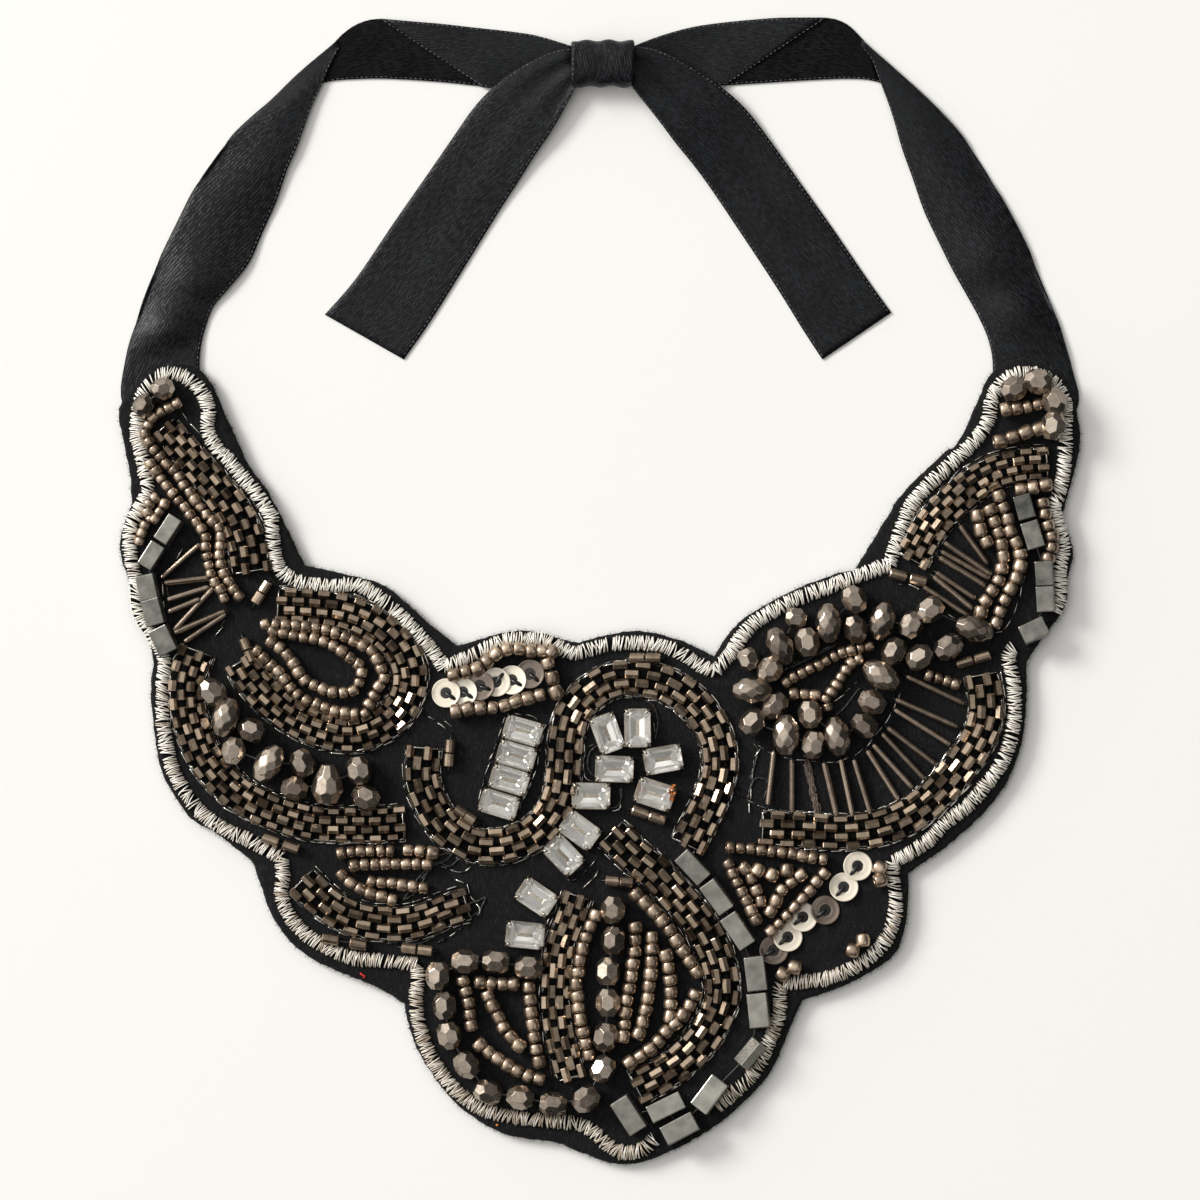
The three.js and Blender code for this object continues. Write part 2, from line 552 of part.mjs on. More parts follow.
function sequinRow(rows) {
  const shape = new THREE.Shape().absarc(0, 0, SEQUIN_DIAMETER / 2, 0, 2 * Math.PI);
  shape.holes.push(new THREE.Path().absarc(0, 0, SEQUIN_HOLE / 2, 0, 2 * Math.PI, true));
  const discs = rows.map((row, index) => {
    const { x, y } = place(row);
    const disc = new THREE.ExtrudeGeometry(shape, {
      depth: SEQUIN_THICKNESS, bevelEnabled: false, curveSegments: 5,
    });
    return turned(disc, x, y, PLATE_BASE + (index % 2) * SEQUIN_THICKNESS * 0.7, 0);
  });
  const stitches = rows.map((row) => new THREE.Vector3(
    place(row).x, place(row).y, PLATE_BASE + THREAD_DIAMETER / 2,
  ));
  return join([...discs, ...threadThrough(stitches)]);
}

function bugleFan(rows) {
  const height = PLATE_BASE + BUGLE_DIAMETER / 2;
  const radius = BUGLE_DIAMETER / 2;
  const starts = [];
  const tubes = rows.map((row) => {
    const start = place(row);
    const end = place({ x: row.endX, y: row.endY });
    const length = start.distanceTo(end);
    const tube = new THREE.CylinderGeometry(radius, radius, length, 6).rotateZ(-Math.PI / 2);
    const middle = start.clone().add(end).multiplyScalar(0.5);
    const near = start.clone().lerp(end, 0.15);
    starts.push(new THREE.Vector3(near.x, near.y, height));
    const turn = THREE.MathUtils.radToDeg(end.clone().sub(start).angle());
    return turned(tube, middle.x, middle.y, height, turn);
  });
  return join([...tubes, ...threadThrough(starts)]);
}

// The ribbon is lofted through sections five points wide, in a wall of RIBBON_THICKNESS
const RIBBON_POINTS = [-0.5, -0.3, 0, 0.3, 0.5];

function ribbonSection(outer, inner, { base = 0, lift = 0, arch = 0, layers = 1, extra = 0 }) {
  const raised = (share) => lift + arch * (1 - (2 * share) ** 2);
  const along = (share, z) => new THREE.Vector3().lerpVectors(
    new THREE.Vector3(outer.x, outer.y, 0), new THREE.Vector3(inner.x, inner.y, 0), share + 0.5,
  ).setZ(z);
  const low = RIBBON_POINTS.map((share) => along(share, base + raised(share) * RIBBON_THICKNESS - extra));
  const high = RIBBON_POINTS.map((share) => along(
    share, base + (raised(share) + layers) * RIBBON_THICKNESS + extra,
  ));
  return [...low, ...high.reverse()];
}

function acrossRibbon(middle, row, side, extra = 0) {
  const turn = THREE.MathUtils.degToRad(row.turn);
  const half = (row.wide * RIBBON_WIDTH) / 2 + extra;
  const offset = new THREE.Vector2(side * Math.cos(turn) * half, Math.sin(turn) * half);
  return [middle.clone().sub(offset), middle.clone().add(offset)];
}

function strapSections(rows, side, extra = 0) {
  return rows.map((row) => {
    const middle = place({ x: side * row.x, y: row.y });
    const [outer, inner] = acrossRibbon(middle, row, side, extra);
    return ribbonSection(outer, inner, { ...row, extra });
  });
}

function runSections(rows, side) {
  return rows.map((row) => {
    const top = place({ x: side * row.x, y: row.y });
    const bottom = new THREE.Vector2(
      top.x + side * row.shift * RIBBON_WIDTH, top.y - row.deep * RIBBON_WIDTH,
    );
    return ribbonSection(top, bottom, { lift: row.lift });
  });
}

const knotCentre = place(KNOT_CHART);

function knotSide(side) {
  return new THREE.Vector2(knotCentre.x - side * (KNOT_WIDTH / 2 + SEAT_GAP), knotCentre.y);
}

function strap(rows, side) {
  const end = knotSide(side);
  const endTop = new THREE.Vector2(end.x, end.y + RUN_END.rise * RIBBON_WIDTH);
  const endBottom = new THREE.Vector2(end.x, endTop.y - RUN_END.deep * RIBBON_WIDTH);
  return join([
    loft(strapSections(rows, side)),
    loft(runSections(CORNER_RUN, side)),
    loft([...runSections(TURNED_RUN, side), ribbonSection(endTop, endBottom, { lift: RUN_END.lift })]),
  ]);
}

function tail(rows, side) {
  const root = knotSide(side);
  return loft(rows.map((row) => {
    const middle = new THREE.Vector2(
      root.x + side * row.x * TAIL_LENGTH, root.y + row.y * TAIL_LENGTH,
    );
    const [outer, inner] = acrossRibbon(middle, row, side);
    return ribbonSection(outer, inner, { lift: row.lift });
  }));
}

function knot() {
  return loft(KNOT_ROWS.map(({ across, girth }) => {
    const ring = [];
    for (let side = 0; side < KNOT_SIDES; side += 1) {
      const angle = ((side + 0.5) / KNOT_SIDES) * 2 * Math.PI;
      const round = Math.cos(Math.PI / KNOT_SIDES);
      ring.push(new THREE.Vector3(
        knotCentre.x + across * KNOT_WIDTH,
        knotCentre.y + (Math.cos(angle) / round) * (KNOT_LENGTH / 2) * girth,
        (KNOT_HEIGHT / 2) * (1 + Math.sin(angle) * girth),
      ));
    }
    return ring;
  }));
}

function bibPanel() {
  const outline = stretches(PANEL_OUTLINE, 'notch', true).flatMap((curve) => {
    const count = Math.max(2, Math.ceil(curve.getLength() / OUTLINE_STEP));
    return curve.getSpacedPoints(count).slice(0, -1).map(({ x, y }) => new THREE.Vector2(x, y));
  });
  const felt = toSolid(new THREE.ExtrudeGeometry(new THREE.Shape(outline), {
    depth: FELT_THICKNESS, bevelEnabled: false,
  }));
  return [[STRAP_LEFT, 1], [STRAP_RIGHT, -1]].reduce((panel, [rows, side]) => panel.subtract(
    toSolid(loft(strapSections(rows.slice(0, 3), side, SEAT_GAP))),
  ), felt);
}

const necklace = new THREE.Group();

function addPiece(name, shape, finish) {
  const geometry = shape instanceof THREE.BufferGeometry ? shape : toGeometry(shape);
  const mesh = new THREE.Mesh(geometry, finish.clone());
  mesh.name = name;
  necklace.add(mesh);
  return mesh;
}

// The stones and their settings, placed one by one
const stonePitch = SETTING_WIDTH + SEAT_GAP;
const settingShape = toGeometry(clawSetting());
const stoneShape = cutStone();
const settingClear = [];
CRYSTALS.forEach(({ cluster, across, up, turn }, index) => {
  const middle = place(CLUSTERS[cluster]);
  const number = String(index + 1).padStart(2, '0');
  const x = middle.x + across * (SETTING_LENGTH + SEAT_GAP / 2);
  const y = middle.y + up * stonePitch;
  const setting = addPiece(`claw_setting_${number}`, settingShape, MATERIALS.setting);
  const crystal = addPiece(`crystal_${number}`, stoneShape, MATERIALS.crystal);
  setting.position.set(x, y, PLATE_BASE);
  crystal.position.set(x, y, PLATE_BASE + SETTING_FLOOR + SEAT_GAP);
  setting.rotation.z = THREE.MathUtils.degToRad(turn);
  crystal.rotation.z = setting.rotation.z;
  const clear = new THREE.BoxGeometry(
    SETTING_LENGTH + 2 * SEAT_GAP, SETTING_WIDTH + 2 * SEAT_GAP, 3 * BAND_HEIGHT,
  );
  settingClear.push(turned(clear, x, y, PLATE_BASE, turn));
});

// The strings of beads; what is woven or stitched beside them gives way by the same small gap
let stonesClear = join(settingClear);
for (const [name, rows] of Object.entries(BLOCK_STRINGS)) {
  addPiece(name, blockString(rows), MATERIALS.hematite);
  stonesClear = stonesClear.add(blockString(rows, 2 * SEAT_GAP));
}
for (const [name, rows] of Object.entries(BEAD_STRINGS)) {
  addPiece(name, beadString(rows), MATERIALS.gunmetal);
  stonesClear = stonesClear.add(beadString(rows, 2 * SEAT_GAP));
}
for (const [name, rows] of Object.entries(SEQUIN_ROWS)) {
  addPiece(name, sequinRow(rows).subtract(stonesClear), MATERIALS.sequin);
}

const bandSweep = ({ first, last }, extra) => ({
  widthAt: (share) => (first + (last - first) * share) * BAND_WIDTH + extra,
  height: BAND_HEIGHT + extra,
  base: PLATE_BASE - extra / 2,
  section: extra ? SQUARE : DOME,
  step: BAND_STEP,
});
let bandsClear = stonesClear;
for (const [name, band] of Object.entries(BANDS)) {
  const [curve] = stretches(band.path, 'corner', false);
  const woven = toSolid(sweep(curve, bandSweep(band, 0))).subtract(stonesClear);
  addPiece(name, largest(woven), MATERIALS.bronze);
  bandsClear = bandsClear.add(toSolid(sweep(curve, bandSweep(band, 2 * SEAT_GAP))));
}
for (const [name, rows] of Object.entries(BUGLE_FANS)) {
  addPiece(name, bugleFan(rows).subtract(bandsClear), MATERIALS.bronze);
}

function borderPiece(rows) {
  return join(stretches(rows, 'corner', false).map((curve) => sweep(curve, {
    widthAt: () => BORDER_WIDTH,
    height: BORDER_HEIGHT,
    base: PLATE_BASE,
    section: CORD_DOME,
    step: BORDER_STEP,
  })));
}
addPiece('border_main', borderPiece(BORDER_MAIN).subtract(bandsClear), MATERIALS.stitch);
addPiece('border_right', borderPiece(BORDER_RIGHT).subtract(bandsClear), MATERIALS.stitch);

addPiece('bib_panel', bibPanel(), MATERIALS.felt);
addPiece('strap_left', strap(STRAP_LEFT, 1), MATERIALS.satin);
addPiece('strap_right', strap(STRAP_RIGHT, -1), MATERIALS.satin);
addPiece('tail_left', tail(TAIL_LEFT, 1), MATERIALS.satin);
addPiece('tail_right', tail(TAIL_RIGHT, -1), MATERIALS.satin);
addPiece('bow_knot', knot(), MATERIALS.satin);

// The origin is under the middle of the whole necklace
const bounds = new THREE.Box3().setFromObject(necklace);
const middle = bounds.getCenter(new THREE.Vector3());
necklace.position.set(-middle.x, -middle.y, -bounds.min.z);

export default necklace;
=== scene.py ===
"""Bib necklace: the looks of the beaded felt panel and its tied satin ribbon, lying flat."""

import math
import random

import bmesh
import bpy
import numpy as np
from mathutils import Matrix, Vector
from mathutils.geometry import delaunay_2d_cdt


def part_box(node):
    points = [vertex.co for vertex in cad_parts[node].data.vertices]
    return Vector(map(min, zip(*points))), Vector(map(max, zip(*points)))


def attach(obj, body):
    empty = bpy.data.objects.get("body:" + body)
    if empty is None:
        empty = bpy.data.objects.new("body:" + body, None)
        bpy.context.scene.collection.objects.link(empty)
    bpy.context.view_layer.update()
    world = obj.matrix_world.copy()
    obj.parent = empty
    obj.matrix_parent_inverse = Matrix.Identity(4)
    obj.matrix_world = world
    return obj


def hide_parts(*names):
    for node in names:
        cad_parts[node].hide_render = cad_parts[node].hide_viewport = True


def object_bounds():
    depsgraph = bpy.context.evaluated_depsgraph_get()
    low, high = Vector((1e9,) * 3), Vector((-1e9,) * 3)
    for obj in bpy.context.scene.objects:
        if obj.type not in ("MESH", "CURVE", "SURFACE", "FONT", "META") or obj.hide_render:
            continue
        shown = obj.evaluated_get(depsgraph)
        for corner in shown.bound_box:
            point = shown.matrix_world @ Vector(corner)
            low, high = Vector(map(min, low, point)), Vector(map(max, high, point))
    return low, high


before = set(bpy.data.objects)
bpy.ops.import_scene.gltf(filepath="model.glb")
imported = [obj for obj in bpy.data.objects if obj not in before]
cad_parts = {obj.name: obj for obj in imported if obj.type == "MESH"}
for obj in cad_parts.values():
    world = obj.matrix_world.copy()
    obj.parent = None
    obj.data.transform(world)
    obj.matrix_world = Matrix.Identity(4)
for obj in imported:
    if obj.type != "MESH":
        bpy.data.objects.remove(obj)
cad_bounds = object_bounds()

MM = 0.001
RNG = random.Random(7)

# The photograph's places, in its 1200 by 1200 frame, and the frame's own sizes that they follow
PHOTO_SIDE = 1200
PANEL_LEFT, PANEL_RIGHT = 119, 1081
PANEL_TOP, PANEL_BOTTOM = 358, 1165
RIBBON_TOP = 16

PANEL_LOW, PANEL_HIGH = (Vector(corner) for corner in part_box("bib_panel"))
WHOLE_LOW, WHOLE_HIGH = (Vector(corner) for corner in cad_bounds)
FELT_TOP = PANEL_HIGH.z
FELT_BASE = PANEL_LOW.z
SQUARE_X = (PANEL_HIGH.x - PANEL_LOW.x) / (PANEL_RIGHT - PANEL_LEFT)
SQUARE_Y = (PANEL_HIGH.y - PANEL_LOW.y) / (PANEL_BOTTOM - PANEL_TOP)
RISE_Y = (WHOLE_HIGH.y - PANEL_HIGH.y) / (PANEL_TOP - RIBBON_TOP)


def at(x, y):
    """A place of the photograph on the necklace's plane, in metres."""
    across = PANEL_LOW.x + (x - PANEL_LEFT) * SQUARE_X
    if y >= PANEL_TOP:
        return np.array((across, PANEL_LOW.y + (PANEL_BOTTOM - y) * SQUARE_Y))
    return np.array((across, PANEL_HIGH.y + (PANEL_TOP - y) * RISE_Y))


# Sizes in metres
SEED_RADIUS = 1.56 * MM
SEED_LENGTH = 2.75 * MM
SEED_PITCH = 2.65 * MM
BUGLE_RADIUS = 0.66 * MM
TUBE_RADIUS = 1.15 * MM
TUBE_LENGTH = 2.9 * MM
ROUND_LENGTH = 6.4 * MM
ROUND_WIDTH = 5.2 * MM
SMALL_LENGTH = 5.0 * MM
SMALL_WIDTH = 4.5 * MM
OVAL_LENGTH = 9.0 * MM
OVAL_WIDTH = 5.9 * MM
BLOCK_HEIGHT = 3.1 * MM
STONE_LENGTH = 8.0 * MM
STONE_WIDTH = 5.4 * MM
STONE_CORNER = 0.95 * MM
STONE_HEIGHT = 2.9 * MM
SEQUIN_RADIUS = 3.15 * MM
THREAD_RADIUS = 0.16 * MM
BORDER_WIDTH = 2.95 * MM
BORDER_HEIGHT = 1.2 * MM
STITCH_PITCH = 0.33 * MM
BAND_WIDTH = 6.9 * MM
BAND_HEIGHT = 1.35 * MM
BAND_ROWS = 4
BAND_PITCH = 4.5 * MM
CUT_LENGTH = 3.05 * MM
CUT_RADIUS = 0.99 * MM
RIBBON_WIDTH = 19 * MM
RIBBON_CLOTH = 0.32 * MM


# Curves on the felt
def between(a, b, c, d, share):
    """A place on the smooth curve that runs from b to c and heeds a and d beside them."""
    square, cube = share * share, share ** 3
    return 0.5 * (
        2 * b + (c - a) * share + (2 * a - 5 * b + 4 * c - d) * square + (3 * b - a - 3 * c + d) * cube
    )


def summed_lengths(points):
    """How far along a line of points each one lies."""
    return np.concatenate(([0], np.cumsum(np.linalg.norm(np.diff(points, axis=0), axis=1))))


def left_of(run):
    return np.array((-run[1], run[0]))


class Route:
    """A smooth curve through places of the photograph, measured along its length."""

    def __init__(self, places):
        points = [at(*place) for place in places]
        points = [2 * points[0] - points[1]] + points + [2 * points[-1] - points[-2]]
        dense = []
        for run in zip(points, points[1:], points[2:], points[3:]):
            dense += [between(*run, share) for share in np.linspace(0, 1, 12, endpoint=False)]
        dense.append(points[-2])
        self.points = np.array(dense)
        self.lengths = summed_lengths(self.points)
        self.length = float(self.lengths[-1])

    def place(self, distance):
        x = np.interp(distance, self.lengths, self.points[:, 0])
        y = np.interp(distance, self.lengths, self.points[:, 1])
        return np.array((x, y))

    def along(self, distance):
        reach = 0.5 * MM
        run = self.place(min(distance + reach, self.length)) - self.place(max(distance - reach, 0))
        return run / max(np.linalg.norm(run), 1e-9)

    def offset(self, distance, side):
        """A place beside the curve, side metres to its left."""
        return self.place(distance) + side * left_of(self.along(distance))

    def spaced(self, pitch):
        count = max(1, round(self.length / pitch))
        return [self.length * (index + 0.5) / count for index in range(count)]


# Meshes are heaped up from turned copies of small shapes
class Shape:
    """Points and faces of a small shape, with a smooth flag for each face."""

    def __init__(self, points, faces, smooth=True):
        self.points = np.array(points, dtype=float)
        self.loops = np.array([corner for face in faces for corner in face], dtype=np.int32)
        self.sizes = np.array([len(face) for face in faces], dtype=np.int32)
        flags = smooth if isinstance(smooth, (list, tuple)) else [smooth] * len(faces)
        self.smooth = np.array(flags, dtype=bool)


class Heap:
    """Many shapes in one mesh, with a tone from 0 to 1 for each shape's shade."""

    def __init__(self):
        self.points, self.loops, self.sizes, self.smooth = [], [], [], []
        self.tones, self.slots, self.strips = [], [], []
        self.count = 0

    def add(self, shape, matrix=None, shift=(0, 0, 0), tone=0.5, slot=0, strip=None):
        points = shape.points if matrix is None else shape.points @ np.array(matrix).T
        self.points.append(points + np.array(shift))
        self.loops.append(shape.loops + self.count)
        self.sizes.append(shape.sizes)
        self.smooth.append(shape.smooth)
        self.tones.append(np.full(len(points), tone))
        self.slots.append(np.full(len(shape.sizes), slot, dtype=np.int32))
        self.strips.append(np.zeros((len(points), 3)) if strip is None else np.array(strip))
        self.count += len(points)

    def build(self, name, materials):
        mesh = bpy.data.meshes.new(name)
        points = np.concatenate(self.points)
        loops = np.concatenate(self.loops)
        sizes = np.concatenate(self.sizes)
        mesh.vertices.add(len(points))
        mesh.vertices.foreach_set("co", points.ravel())
        mesh.loops.add(len(loops))
        mesh.loops.foreach_set("vertex_index", loops)
        mesh.polygons.add(len(sizes))
        starts = np.concatenate(([0], np.cumsum(sizes)[:-1])).astype(np.int32)
        mesh.polygons.foreach_set("loop_start", starts)
        mesh.update(calc_edges=True)
        mesh.validate()
        mesh.polygons.foreach_set("use_smooth", np.concatenate(self.smooth))
        mesh.polygons.foreach_set("material_index", np.concatenate(self.slots))
        mesh.attributes.new("tone", "FLOAT", "POINT").data.foreach_set(
            "value", np.concatenate(self.tones).astype(np.float32))
        mesh.attributes.new("strip", "FLOAT_VECTOR", "POINT").data.foreach_set(
            "vector", np.concatenate(self.strips).astype(np.float32).ravel())
        for material in materials:
            mesh.materials.append(material)
        piece = bpy.data.objects.new(name, mesh)
        bpy.context.scene.collection.objects.link(piece)
        return piece


def aimed(along, lift=0.0, roll=0.0, scale=(1, 1, 1)):
    """A 3 by 3 matrix that turns X along a direction on the felt, tipped up by lift and rolled."""
    turn = math.atan2(along[1], along[0])
    matrix = Matrix.Rotation(turn, 3, "Z") @ Matrix.Rotation(-lift, 3, "Y") @ Matrix.Rotation(roll, 3, "X")
    return np.array(matrix) @ np.diag(scale)


def shade(usual, spread):
    """A tone near the usual one, drawn for each shape."""
    return min(1, max(0, RNG.gauss(usual, spread)))


def arched(share):
    """The height of a half circle over its diameter, from -1 to 1."""
    return math.sqrt(max(0, 1 - share ** 2))


def direction(degrees):
    """A direction given as the photograph shows it, clockwise from the right."""
    return np.array((math.cos(math.radians(degrees)), -math.sin(math.radians(degrees))))


def ring_faces(rings, sides, outward=False):
    """Faces that join rings of points in turn, and a cap at each end."""
    faces = []
    for ring in range(rings - 1):
        for side in range(sides):
            a, b = ring * sides + side, ring * sides + (side + 1) % sides
            faces.append((a, b, b + sides, a + sides) if outward else (a, a + sides, b + sides, b))
    first, last = range(sides), range((rings - 1) * sides, rings * sides)
    if outward:
        return faces + [tuple(reversed(first)), tuple(last)]
    return faces + [tuple(first), tuple(reversed(last))]


def lathe(profile, sides, closed=False, smooth=True):
    """Rings about X from (along, radius) rows; a closed profile makes a bead with a hole."""
    rings = len(profile)
    points = [
        (along, radius * math.cos(2 * math.pi * side / sides), radius * math.sin(2 * math.pi * side / sides))
        for along, radius in profile for side in range(sides)
    ]
    if not closed:
        faces = ring_faces(rings, sides)
        return Shape(points, faces, [smooth] * (len(faces) - 2) + [False, False])
    total = rings * sides
    faces = [
        tuple(corner % total for corner in face) for face in ring_faces(rings + 1, sides)[:-2]
    ]
    return Shape(points, faces, smooth)


def tube(points, radius, sides=6):
    """A thread through 3-D points."""
    points = np.array(points, dtype=float)
    runs = np.gradient(points, axis=0)
    corners = []
    for place, run in zip(points, runs):
        run = run / max(np.linalg.norm(run), 1e-12)
        side = np.cross(run, (0, 0, 1))
        if np.linalg.norm(side) < 1e-3:
            side = np.cross(run, (0, 1, 0))
        side /= np.linalg.norm(side)
        up = np.cross(side, run)
        for step in range(sides):
            angle = 2 * math.pi * step / sides
            corners.append(place + radius * (math.cos(angle) * side + math.sin(angle) * up))
    faces = ring_faces(len(points), sides, outward=True)
    return Shape(corners, faces, [True] * (len(faces) - 2) + [False, False])


def bevelled(points, width, segments=1):
    """The convex body round some points, with its edges bevelled."""
    mesh = bmesh.new()
    for point in points:
        mesh.verts.new(point)
    bmesh.ops.convex_hull(mesh, input=mesh.verts)
    loose = [vert for vert in mesh.verts if not vert.link_faces]
    bmesh.ops.delete(mesh, geom=loose, context="VERTS")
    bmesh.ops.dissolve_limit(mesh, angle_limit=math.radians(2), verts=mesh.verts, edges=mesh.edges)
    bmesh.ops.recalc_face_normals(mesh, faces=mesh.faces)
    if width:
        bmesh.ops.bevel(mesh, geom=mesh.edges, offset=width, segments=segments, affect="EDGES", profile=0.5)
    mesh.verts.index_update()
    shape = Shape(
        [tuple(vert.co) for vert in mesh.verts],
        [tuple(vert.index for vert in face.verts) for face in mesh.faces], False,
    )
    mesh.free()
    return shape


def cut_by_planes(planes, width):
    """The convex body inside planes given as (normal, distance), with its edges bevelled."""
    dual = bmesh.new()
    for normal, distance in planes:
        dual.verts.new(Vector(normal).normalized() / distance)
    bmesh.ops.convex_hull(dual, input=dual.verts)
    bmesh.ops.recalc_face_normals(dual, faces=dual.faces)
    corners = []
    for face in dual.faces:
        away = face.normal.dot(face.verts[0].co)
        if abs(away) > 1e-6:
            corners.append(face.normal / away)
    dual.free()
    return bevelled(corners, width)


def sweep(route, section, step, width=None):
    """A section of (across, up) rows swept along a route, in metres above the felt."""
    count = max(2, round(route.length / step))
    points = []
    for index in range(count + 1):
        distance = route.length * index / count
        factor = 1 if width is None else width(distance / route.length)
        for across, up in section:
            x, y = route.offset(distance, across * factor)
            points.append((x, y, FELT_TOP + up))
    return Shape(points, ring_faces(count + 1, len(section)))


def dome(width, height):
    """A section with a flat foot and a rounded top."""
    angles = [math.pi * index / 8 for index in range(9)]
    return [(0.5 * width * math.cos(angle), height * math.sin(angle) ** 0.8) for angle in angles]


# Materials
def add_node(nodes, kind, values):
    """A new node with its input sockets, or else its own settings, given by name."""
    node = nodes.new(kind)
    for key, value in values.items():
        if key in node.inputs:
            node.inputs[key].default_value = value
        else:
            setattr(node, key, value)
    return node


class Finish:
    """A node material that starts from one Principled shader."""

    def __init__(self, name, color, roughness, metallic=0.0, specular=0.5):
        self.material = bpy.data.materials.new(name)
        self.material.use_nodes = True
        self.nodes = self.material.node_tree.nodes
        self.links = self.material.node_tree.links
        self.shader = self.nodes["Principled BSDF"]
        self.settle("Base Color", (*color, 1))
        self.settle("Roughness", roughness)
        self.settle("Metallic", metallic)
        self.settle("Specular IOR Level", specular)
        self.bump_socket = None

    def settle(self, socket, value):
        self.shader.inputs[socket].default_value = value

    def node(self, kind, **values):
        return add_node(self.nodes, kind, values)

    def link(self, start, end):
        self.links.new(start, end)

    def attribute(self, name):
        return self.node("ShaderNodeAttribute", attribute_name=name)

    def mapped(self, vector, **values):
        mapping = self.node("ShaderNodeMapping", **values)
        self.link(vector, mapping.inputs["Vector"])
        return mapping.outputs["Vector"]

    def coordinates(self, scale=(1, 1, 1)):
        return self.mapped(self.node("ShaderNodeTexCoord").outputs["Object"], Scale=scale)

    def noise(self, scale, detail=4.0, vector=None):
        noise = self.node("ShaderNodeTexNoise", Scale=scale, Detail=detail, Roughness=0.55)
        self.link(vector or self.coordinates(), noise.inputs["Vector"])
        return noise.outputs["Fac"]

    def ramp(self, value, low, high, start=0.0, end=1.0):
        limits = {"From Min": low, "From Max": high, "To Min": start, "To Max": end}
        ramp = self.node("ShaderNodeMapRange", clamp=True, **limits)
        self.link(value, ramp.inputs["Value"])
        return ramp.outputs["Result"]

    def math(self, operation, first, second):
        result = self.node("ShaderNodeMath", operation=operation, use_clamp=True)
        self.link(first, result.inputs[0])
        self.link(second, result.inputs[1])
        return result.outputs[0]

    def mix(self, share, first, second):
        mix = self.node("ShaderNodeMix", data_type="RGBA")
        for value, socket in ((first, mix.inputs[6]), (second, mix.inputs[7])):
            if isinstance(value, tuple):
                socket.default_value = (*value, 1)
            else:
                self.link(value, socket)
        self.link(share, mix.inputs[0])
        return mix.outputs[2]

    def paint(self, color):
        self.link(color, self.shader.inputs["Base Color"])

    def tones(self, dark, light, spread=0.35, scale=900.0):
        """The colour runs from dark to light with each shape's tone and a little clouding."""
        tone = self.attribute("tone").outputs["Fac"]
        cloud = self.ramp(self.noise(scale), 0.3, 0.7, -spread / 2, spread / 2)
        self.paint(self.mix(self.math("ADD", tone, cloud), dark, light))

    def rough(self, scale, low, high):
        self.link(self.ramp(self.noise(scale), 0.3, 0.7, low, high), self.shader.inputs["Roughness"])

    def bump(self, height, distance, strength):
        bump = self.node("ShaderNodeBump", Strength=strength, Distance=distance)
        self.link(height, bump.inputs["Height"])
        if self.bump_socket is not None:
            self.link(self.bump_socket, bump.inputs["Normal"])
        self.bump_socket = bump.outputs["Normal"]
        self.link(self.bump_socket, self.shader.inputs["Normal"])


def felt_finish():
    finish = Finish("felt", (0.010, 0.010, 0.011), 0.95, specular=0.2)
    fibres = finish.noise(1.0, 6, finish.coordinates((2600, 700, 700)))
    crossing = finish.noise(1.0, 6, finish.coordinates((700, 2900, 900)))
    mats = finish.noise(160.0, 3)
    light = finish.ramp(fibres, 0.5, 0.78)
    color = finish.mix(light, (0.0048, 0.0048, 0.0054), (0.022, 0.022, 0.024))
    color = finish.mix(finish.ramp(crossing, 0.58, 0.8, 0, 0.7), color, (0.030, 0.030, 0.033))
    finish.paint(finish.mix(finish.ramp(mats, 0.35, 0.7, 0, 0.5), color, (0.0035, 0.0035, 0.004)))
    finish.bump(fibres, 0.25 * MM, 0.7)
    finish.bump(crossing, 0.25 * MM, 0.6)
    finish.bump(mats, 0.5 * MM, 0.5)
    finish.settle("Sheen Weight", 0.05)
    return finish.material


TWILL_TURN = 15.0


def satin_finish(name, shine, dark, gloss):
    """Satin with its diagonal twill, whose lines are coloured up to 7.5 times lighter than the black cloth
    as a painted sheen; the strip attribute runs across and along the ribbon in metres.
    """
    finish = Finish(name, dark, shine, specular=gloss)
    strip = finish.attribute("strip").outputs["Vector"]
    turned = finish.mapped(strip, Rotation=(0, 0, math.radians(TWILL_TURN)))
    waves = {"Scale": 560.0, "Distortion": 4.0, "Detail": 2.0, "Detail Scale": 2.2}
    twill = finish.node("ShaderNodeTexWave", wave_type="BANDS", bands_direction="X", **waves)
    finish.link(turned, twill.inputs["Vector"])
    floats = finish.noise(1.0, 2, finish.mapped(turned, Scale=(1500, 640, 1)))
    slubs = finish.noise(1.0, 3, finish.coordinates((160, 160, 160)))
    lines = finish.math("MULTIPLY", twill.outputs["Fac"], finish.ramp(floats, 0.35, 0.6, 0.05, 1.0))
    # Painted sheen: the twill lines are coloured lighter than the black cloth, up to 7.5 times its colour.
    light = tuple(7.5 * part for part in dark)
    color = finish.mix(finish.ramp(lines, 0.15, 0.9, 0, 0.7), dark, light)
    finish.paint(finish.mix(finish.ramp(slubs, 0.35, 0.7, 0, 0.45), color, tuple(0.5 * c for c in dark)))
    finish.link(finish.ramp(slubs, 0.3, 0.7, shine - 0.06, shine + 0.08), finish.shader.inputs["Roughness"])
    finish.bump(lines, 0.09 * MM, 0.6)
    finish.bump(floats, 0.05 * MM, 0.4)
    finish.settle("Anisotropic", 0.4)
    return finish.material


def thread_finish(name, dark, light, metallic, roughness, specular=0.5):
    finish = Finish(name, light, roughness, metallic, specular=specular)
    finish.tones(dark, light, 0.5, 1800.0)
    finish.rough(1500.0, roughness * 0.8, roughness * 1.2)
    return finish.material


def bead_finish(name, dark, light, roughness, metallic=0.85, cloud=700.0, coat=0.0, pitting=0.5):
    finish = Finish(name, light, roughness, metallic)
    finish.tones(dark, light, 0.4, cloud)
    finish.rough(1200.0, roughness * 0.7, roughness * 1.35)
    finish.bump(finish.noise(2400.0, 3), 0.02 * MM, pitting)
    finish.settle("Coat Weight", coat)
    finish.settle("Coat Roughness", 0.08)
    return finish.material


